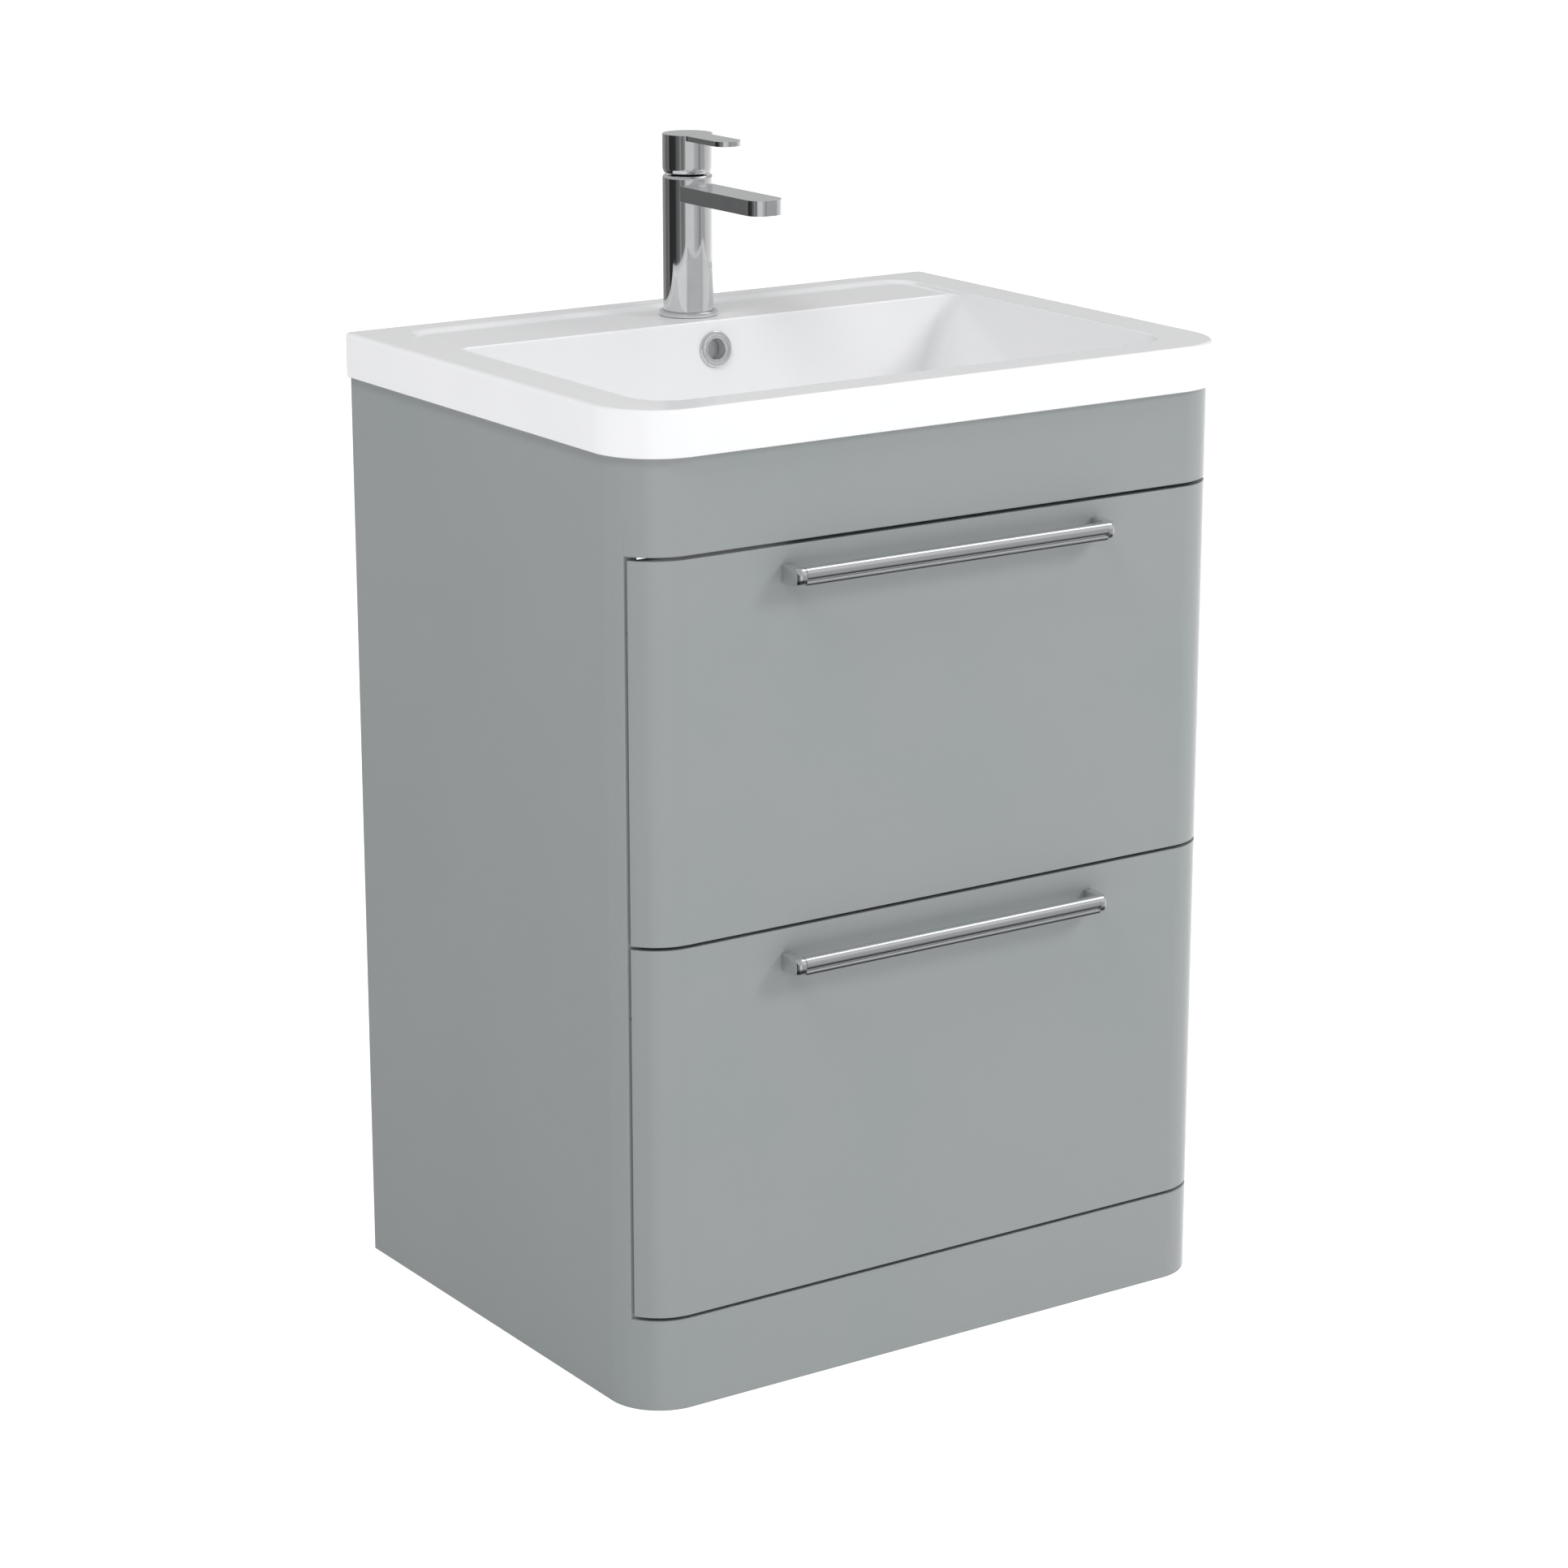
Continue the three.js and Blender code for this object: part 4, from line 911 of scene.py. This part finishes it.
def tap_aerator():
    """A plastic insert whose outlet is a disc of small holes behind a rim."""
    low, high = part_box("tap_aerator")
    centre = Vector(((low.x + high.x) / 2, (low.y + high.y) / 2, low.z))
    radius, depth = (high.x - low.x) / 2, high.z - low.z
    profile = [(0, 2 * MM), (6 * MM, 2 * MM), (6.3 * MM, 0.3 * MM), (6.6 * MM, 0), (radius - 0.3 * MM, 0)]
    profile += [(radius, 0.3 * MM), (radius, depth), (0, depth)]
    insert = turned("tap_aerator_fine", profile, 64, Matrix.Translation(centre))
    holes = []
    for ring, (count, distance) in enumerate(((1, 0.0), (6, 2.2 * MM), (12, 4.3 * MM))):
        for k in range(count):
            angle = math.radians(360 * k / count + 15 * ring)
            spot = centre + Vector((distance * math.cos(angle), distance * math.sin(angle), 0))
            holes.append(cylinder("cut", 0.7 * MM, MM, 3.5 * MM, Matrix.Translation(spot), 12))
    carve(insert, *holes)
    stands_for(insert, "tap_aerator")


def tap_cartridge():
    low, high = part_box("tap_cartridge")
    foot, top = low.z - LEDGE_Z, high.z - LEDGE_Z
    radius = (high.x - low.x) / 2
    profile = [(8 * MM, foot), (radius, foot), (radius, top - 0.8 * MM), (radius - 0.8 * MM, top)]
    profile += [(13 * MM, top), (12.6 * MM, top - 0.8 * MM), (10.4 * MM, top - 0.8 * MM), (10 * MM, top)]
    profile += [(8.6 * MM, top), (8 * MM, top - 0.6 * MM)]
    stands_for(place_on_tap(turned("tap_cartridge_fine", profile, 64)), "tap_cartridge")


def tap_stem():
    low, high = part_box("tap_stem")
    foot, top = low.z - LEDGE_Z, high.z - LEDGE_Z
    radius = (high.x - low.x) / 2
    profile = [(0, foot), (radius - 0.6 * MM, foot), (radius, foot + 0.6 * MM), (radius, top - 1.2 * MM)]
    profile += [(radius - 1.2 * MM, top), (0, top)]
    stands_for(place_on_tap(turned("tap_stem_fine", profile, 48)), "tap_stem")


def bumper(node):
    """A small domed pad."""
    low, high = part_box(node)
    radius, depth = (high.x - low.x) / 2, high.y - low.y
    place = Matrix.Translation(((low.x + high.x) / 2, high.y, (low.z + high.z) / 2))
    place = place @ Matrix.Rotation(math.radians(90), 4, "X")
    profile = [(0, 0), (radius, 0)]
    profile += [(radius * math.cos(math.radians(a)), depth * math.sin(math.radians(a))) for a in range(15, 90, 15)]
    profile += [(0, depth)]
    stands_for(turned(node + "_fine", profile, 32, place), node, sharp=50)


def kept_nodes():
    """Frame nodes whose own shape is right get eased edges and their finish."""
    for name, obj in frame["nodes"].items():
        if obj.hide_render:
            continue
        obj.data.materials.clear()
        obj.data.materials.append(MATERIALS[SLOT_OF[name]])
        thin = min(obj.dimensions) < 3 * MM or "runner" in name or "bracket" in name or "screw" in name
        weld = obj.modifiers.new("weld", "WELD")
        weld.merge_threshold = 1e-5
        round_edges(obj, 0.25 * MM if thin else 0.6 * MM, 2)
        normals = obj.modifiers.new("normals", "WEIGHTED_NORMAL")
        normals.keep_sharp = True


# ---- Studio ----
def floor():
    """A pale studio floor, lit a little from within so that it stays near white."""
    size = 150
    plane = make_object("floor", [(-size, -size, 0), (size, -size, 0), (size, size, 0), (-size, size, 0)], [(0, 1, 2, 3)])
    finish = Finish("studio_floor", (0.6, 0.6, 0.6), 0.9)
    finish.shader.inputs["Emission Color"].default_value = (1, 1, 1, 1)
    finish.shader.inputs["Emission Strength"].default_value = 0.76
    plane.data.materials.append(finish.material)
    plane.visible_glossy = False


def backdrop():
    """A far white wall behind low views; it neither lights nor shades anything."""
    radius, tall, sides = 40, 40, 96
    ring = [(radius * math.cos(math.tau * i / sides), radius * math.sin(math.tau * i / sides)) for i in range(sides)]
    points = [(x, y, z) for z in (-1, tall) for x, y in ring]
    faces = [(i, (i + 1) % sides, sides + (i + 1) % sides, sides + i) for i in range(sides)]
    wall = make_object("backdrop", points, faces)
    finish = Finish("studio_backdrop", (0, 0, 0), 1.0)
    finish.shader.inputs["Emission Color"].default_value = (1, 1, 1, 1)
    finish.shader.inputs["Emission Strength"].default_value = 1.02
    wall.data.materials.append(finish.material)
    wall.visible_diffuse = False
    wall.visible_glossy = False
    wall.visible_transmission = False
    wall.visible_shadow = False


def studio_world():
    """A soft studio: dark and light bands low down for the metal, a pale dome above."""
    world = bpy.data.worlds.new("studio")
    bpy.context.scene.world = world
    world.use_nodes = True
    tree = world.node_tree
    background = tree.nodes["Background"]
    place = tree.nodes.new("ShaderNodeTexCoord")
    axes = tree.nodes.new("ShaderNodeSeparateXYZ")
    tree.links.new(place.outputs["Generated"], axes.inputs[0])
    turn = tree.nodes.new("ShaderNodeMath")
    turn.operation = "ARCTAN2"
    tree.links.new(axes.outputs["X"], turn.inputs[0])
    tree.links.new(axes.outputs["Y"], turn.inputs[1])
    share = tree.nodes.new("ShaderNodeMapRange")
    share.inputs["From Min"].default_value = -math.pi
    share.inputs["From Max"].default_value = math.pi
    tree.links.new(turn.outputs[0], share.inputs["Value"])
    bands = tree.nodes.new("ShaderNodeValToRGB")
    bands.color_ramp.interpolation = "EASE"
    # (degrees from +Y towards +X, brightness): what metal mirrors low down, all round the studio
    stops = ((-180, 0.5), (-172, 0.68), (-140, 0.68), (-132, 0.26), (-122, 0.16), (-114, 0.3), (-106, 0.14))
    stops += ((-96, 0.12), (-88, 0.035), (-56, 0.03), (-48, 0.2), (-40, 0.14), (-28, 0.14), (-20, 0.26), (0, 0.3), (22, 0.4), (36, 1.1), (56, 1.3))
    stops += ((76, 1.0), (100, 0.74), (124, 0.62), (133, 0.42), (151, 0.42), (156, 0.2), (161, 0.4), (180, 0.5))
    ramp = bands.color_ramp
    for degrees, brightness in stops:
        position = (degrees + 180) / 360
        at_end = degrees in (-180, 180)
        element = ramp.elements[0 if degrees < 0 else -1] if at_end else ramp.elements.new(position)
        element.position = position
        element.color = (brightness, brightness, brightness * 1.01, 1)
    tree.links.new(share.outputs["Result"], bands.inputs["Fac"])
    dome = tree.nodes.new("ShaderNodeValToRGB")
    dome.color_ramp.elements[0].position = 0.0
    dome.color_ramp.elements[0].color = (0.5, 0.502, 0.505, 1)
    dome.color_ramp.elements[1].position = 0.8
    dome.color_ramp.elements[1].color = (0.46, 0.46, 0.465, 1)
    tree.links.new(axes.outputs["Z"], dome.inputs["Fac"])
    sky = dome.outputs["Color"]
    # (direction, cosines at its soft edge and core, added brightness): soft boxes that metal mirrors
    panels = (((0.58, -0.58, 0.574), 0.78, 0.93, 0.16), ((0.6, -0.05, 0.8), 0.965, 0.985, 1.7))
    for direction, edge, core, brightness in panels:
        aim = tree.nodes.new("ShaderNodeVectorMath")
        aim.operation = "DOT_PRODUCT"
        aim.inputs[1].default_value = direction
        tree.links.new(place.outputs["Generated"], aim.inputs[0])
        glow = tree.nodes.new("ShaderNodeMapRange")
        glow.inputs["From Min"].default_value = edge
        glow.inputs["From Max"].default_value = core
        glow.inputs["To Max"].default_value = brightness
        tree.links.new(aim.outputs["Value"], glow.inputs["Value"])
        added = tree.nodes.new("ShaderNodeVectorMath")
        tree.links.new(sky, added.inputs[0])
        tree.links.new(glow.outputs["Result"], added.inputs[1])
        sky = added.outputs["Vector"]
    height = tree.nodes.new("ShaderNodeMapRange")
    height.inputs["From Min"].default_value = -0.02
    height.inputs["From Max"].default_value = 0.04
    tree.links.new(axes.outputs["Z"], height.inputs["Value"])
    mix = tree.nodes.new("ShaderNodeMix")
    mix.data_type = "RGBA"
    tree.links.new(height.outputs["Result"], mix.inputs["Factor"])
    # straight down the studio is dark, so that the metal's undersides are
    below = tree.nodes.new("ShaderNodeMapRange")
    below.inputs["From Min"].default_value = -0.62
    below.inputs["From Max"].default_value = -0.34
    below.inputs["To Min"].default_value = 0.1
    tree.links.new(axes.outputs["Z"], below.inputs["Value"])
    dimmed = tree.nodes.new("ShaderNodeVectorMath")
    dimmed.operation = "SCALE"
    tree.links.new(bands.outputs["Color"], dimmed.inputs[0])
    tree.links.new(below.outputs["Result"], dimmed.inputs["Scale"])
    tree.links.new(dimmed.outputs["Vector"], mix.inputs["A"])
    tree.links.new(sky, mix.inputs["B"])
    tree.links.new(mix.outputs["Result"], background.inputs["Color"])
    background.inputs["Strength"].default_value = 1.0


def soft_box(name, place, target, size, power):
    light = bpy.data.lights.new(name, "AREA")
    light.shape = "RECTANGLE"
    light.size, light.size_y = size
    light.energy = power
    lamp = bpy.data.objects.new(name, light)
    bpy.context.scene.collection.objects.link(lamp)
    lamp.location = place
    lamp.rotation_euler = (Vector(target) - Vector(place)).to_track_quat("-Z", "Y").to_euler()
    lamp.visible_glossy = False
    lamp.visible_camera = False


def camera():
    """The camera stands to the left of the front, a little above the rim."""
    data = bpy.data.cameras.new("camera")
    data.lens = 97.72
    data.sensor_width = 36
    data.clip_start, data.clip_end = 0.05, 500
    lookout = bpy.data.objects.new("camera", data)
    bpy.context.scene.collection.objects.link(lookout)
    lookout.location = (-2.0258, -2.9780, 1.4636)
    turn, dip = math.radians(34.07), math.radians(15.72)
    lookout.rotation_euler = (math.radians(90) - dip, 0, -turn)
    bpy.context.scene.camera = lookout


def studio():
    floor()
    backdrop()
    studio_world()
    soft_box("key", (2.4, -2.7, 2.8), (0, 0, 0.6), (1.1, 1.1), 52)
    soft_box("fill", (-2.0, -0.9, 3.6), (0, 0, 0.6), (1.3, 1.3), 46)
    camera()
    bpy.context.scene.view_settings.view_transform = "Standard"


# ---- Build ----
cabinet_shell()
for level in ("upper", "lower"):
    drawer_front(level)
    handle(level)
    for side in ("left", "right"):
        bumper(f"bumper_{level}_{side}")
basin()
overflow_channel()
overflow_ring()
waste()
waste_plug()
hexagon_nut("waste_backnut", 20.8 * MM)
tap_body()
tap_lever()
tap_base_ring()
tap_aerator()
tap_cartridge()
tap_stem()
hexagon_nut("tap_fixing_nut", 16.3 * MM)
kept_nodes()
studio()
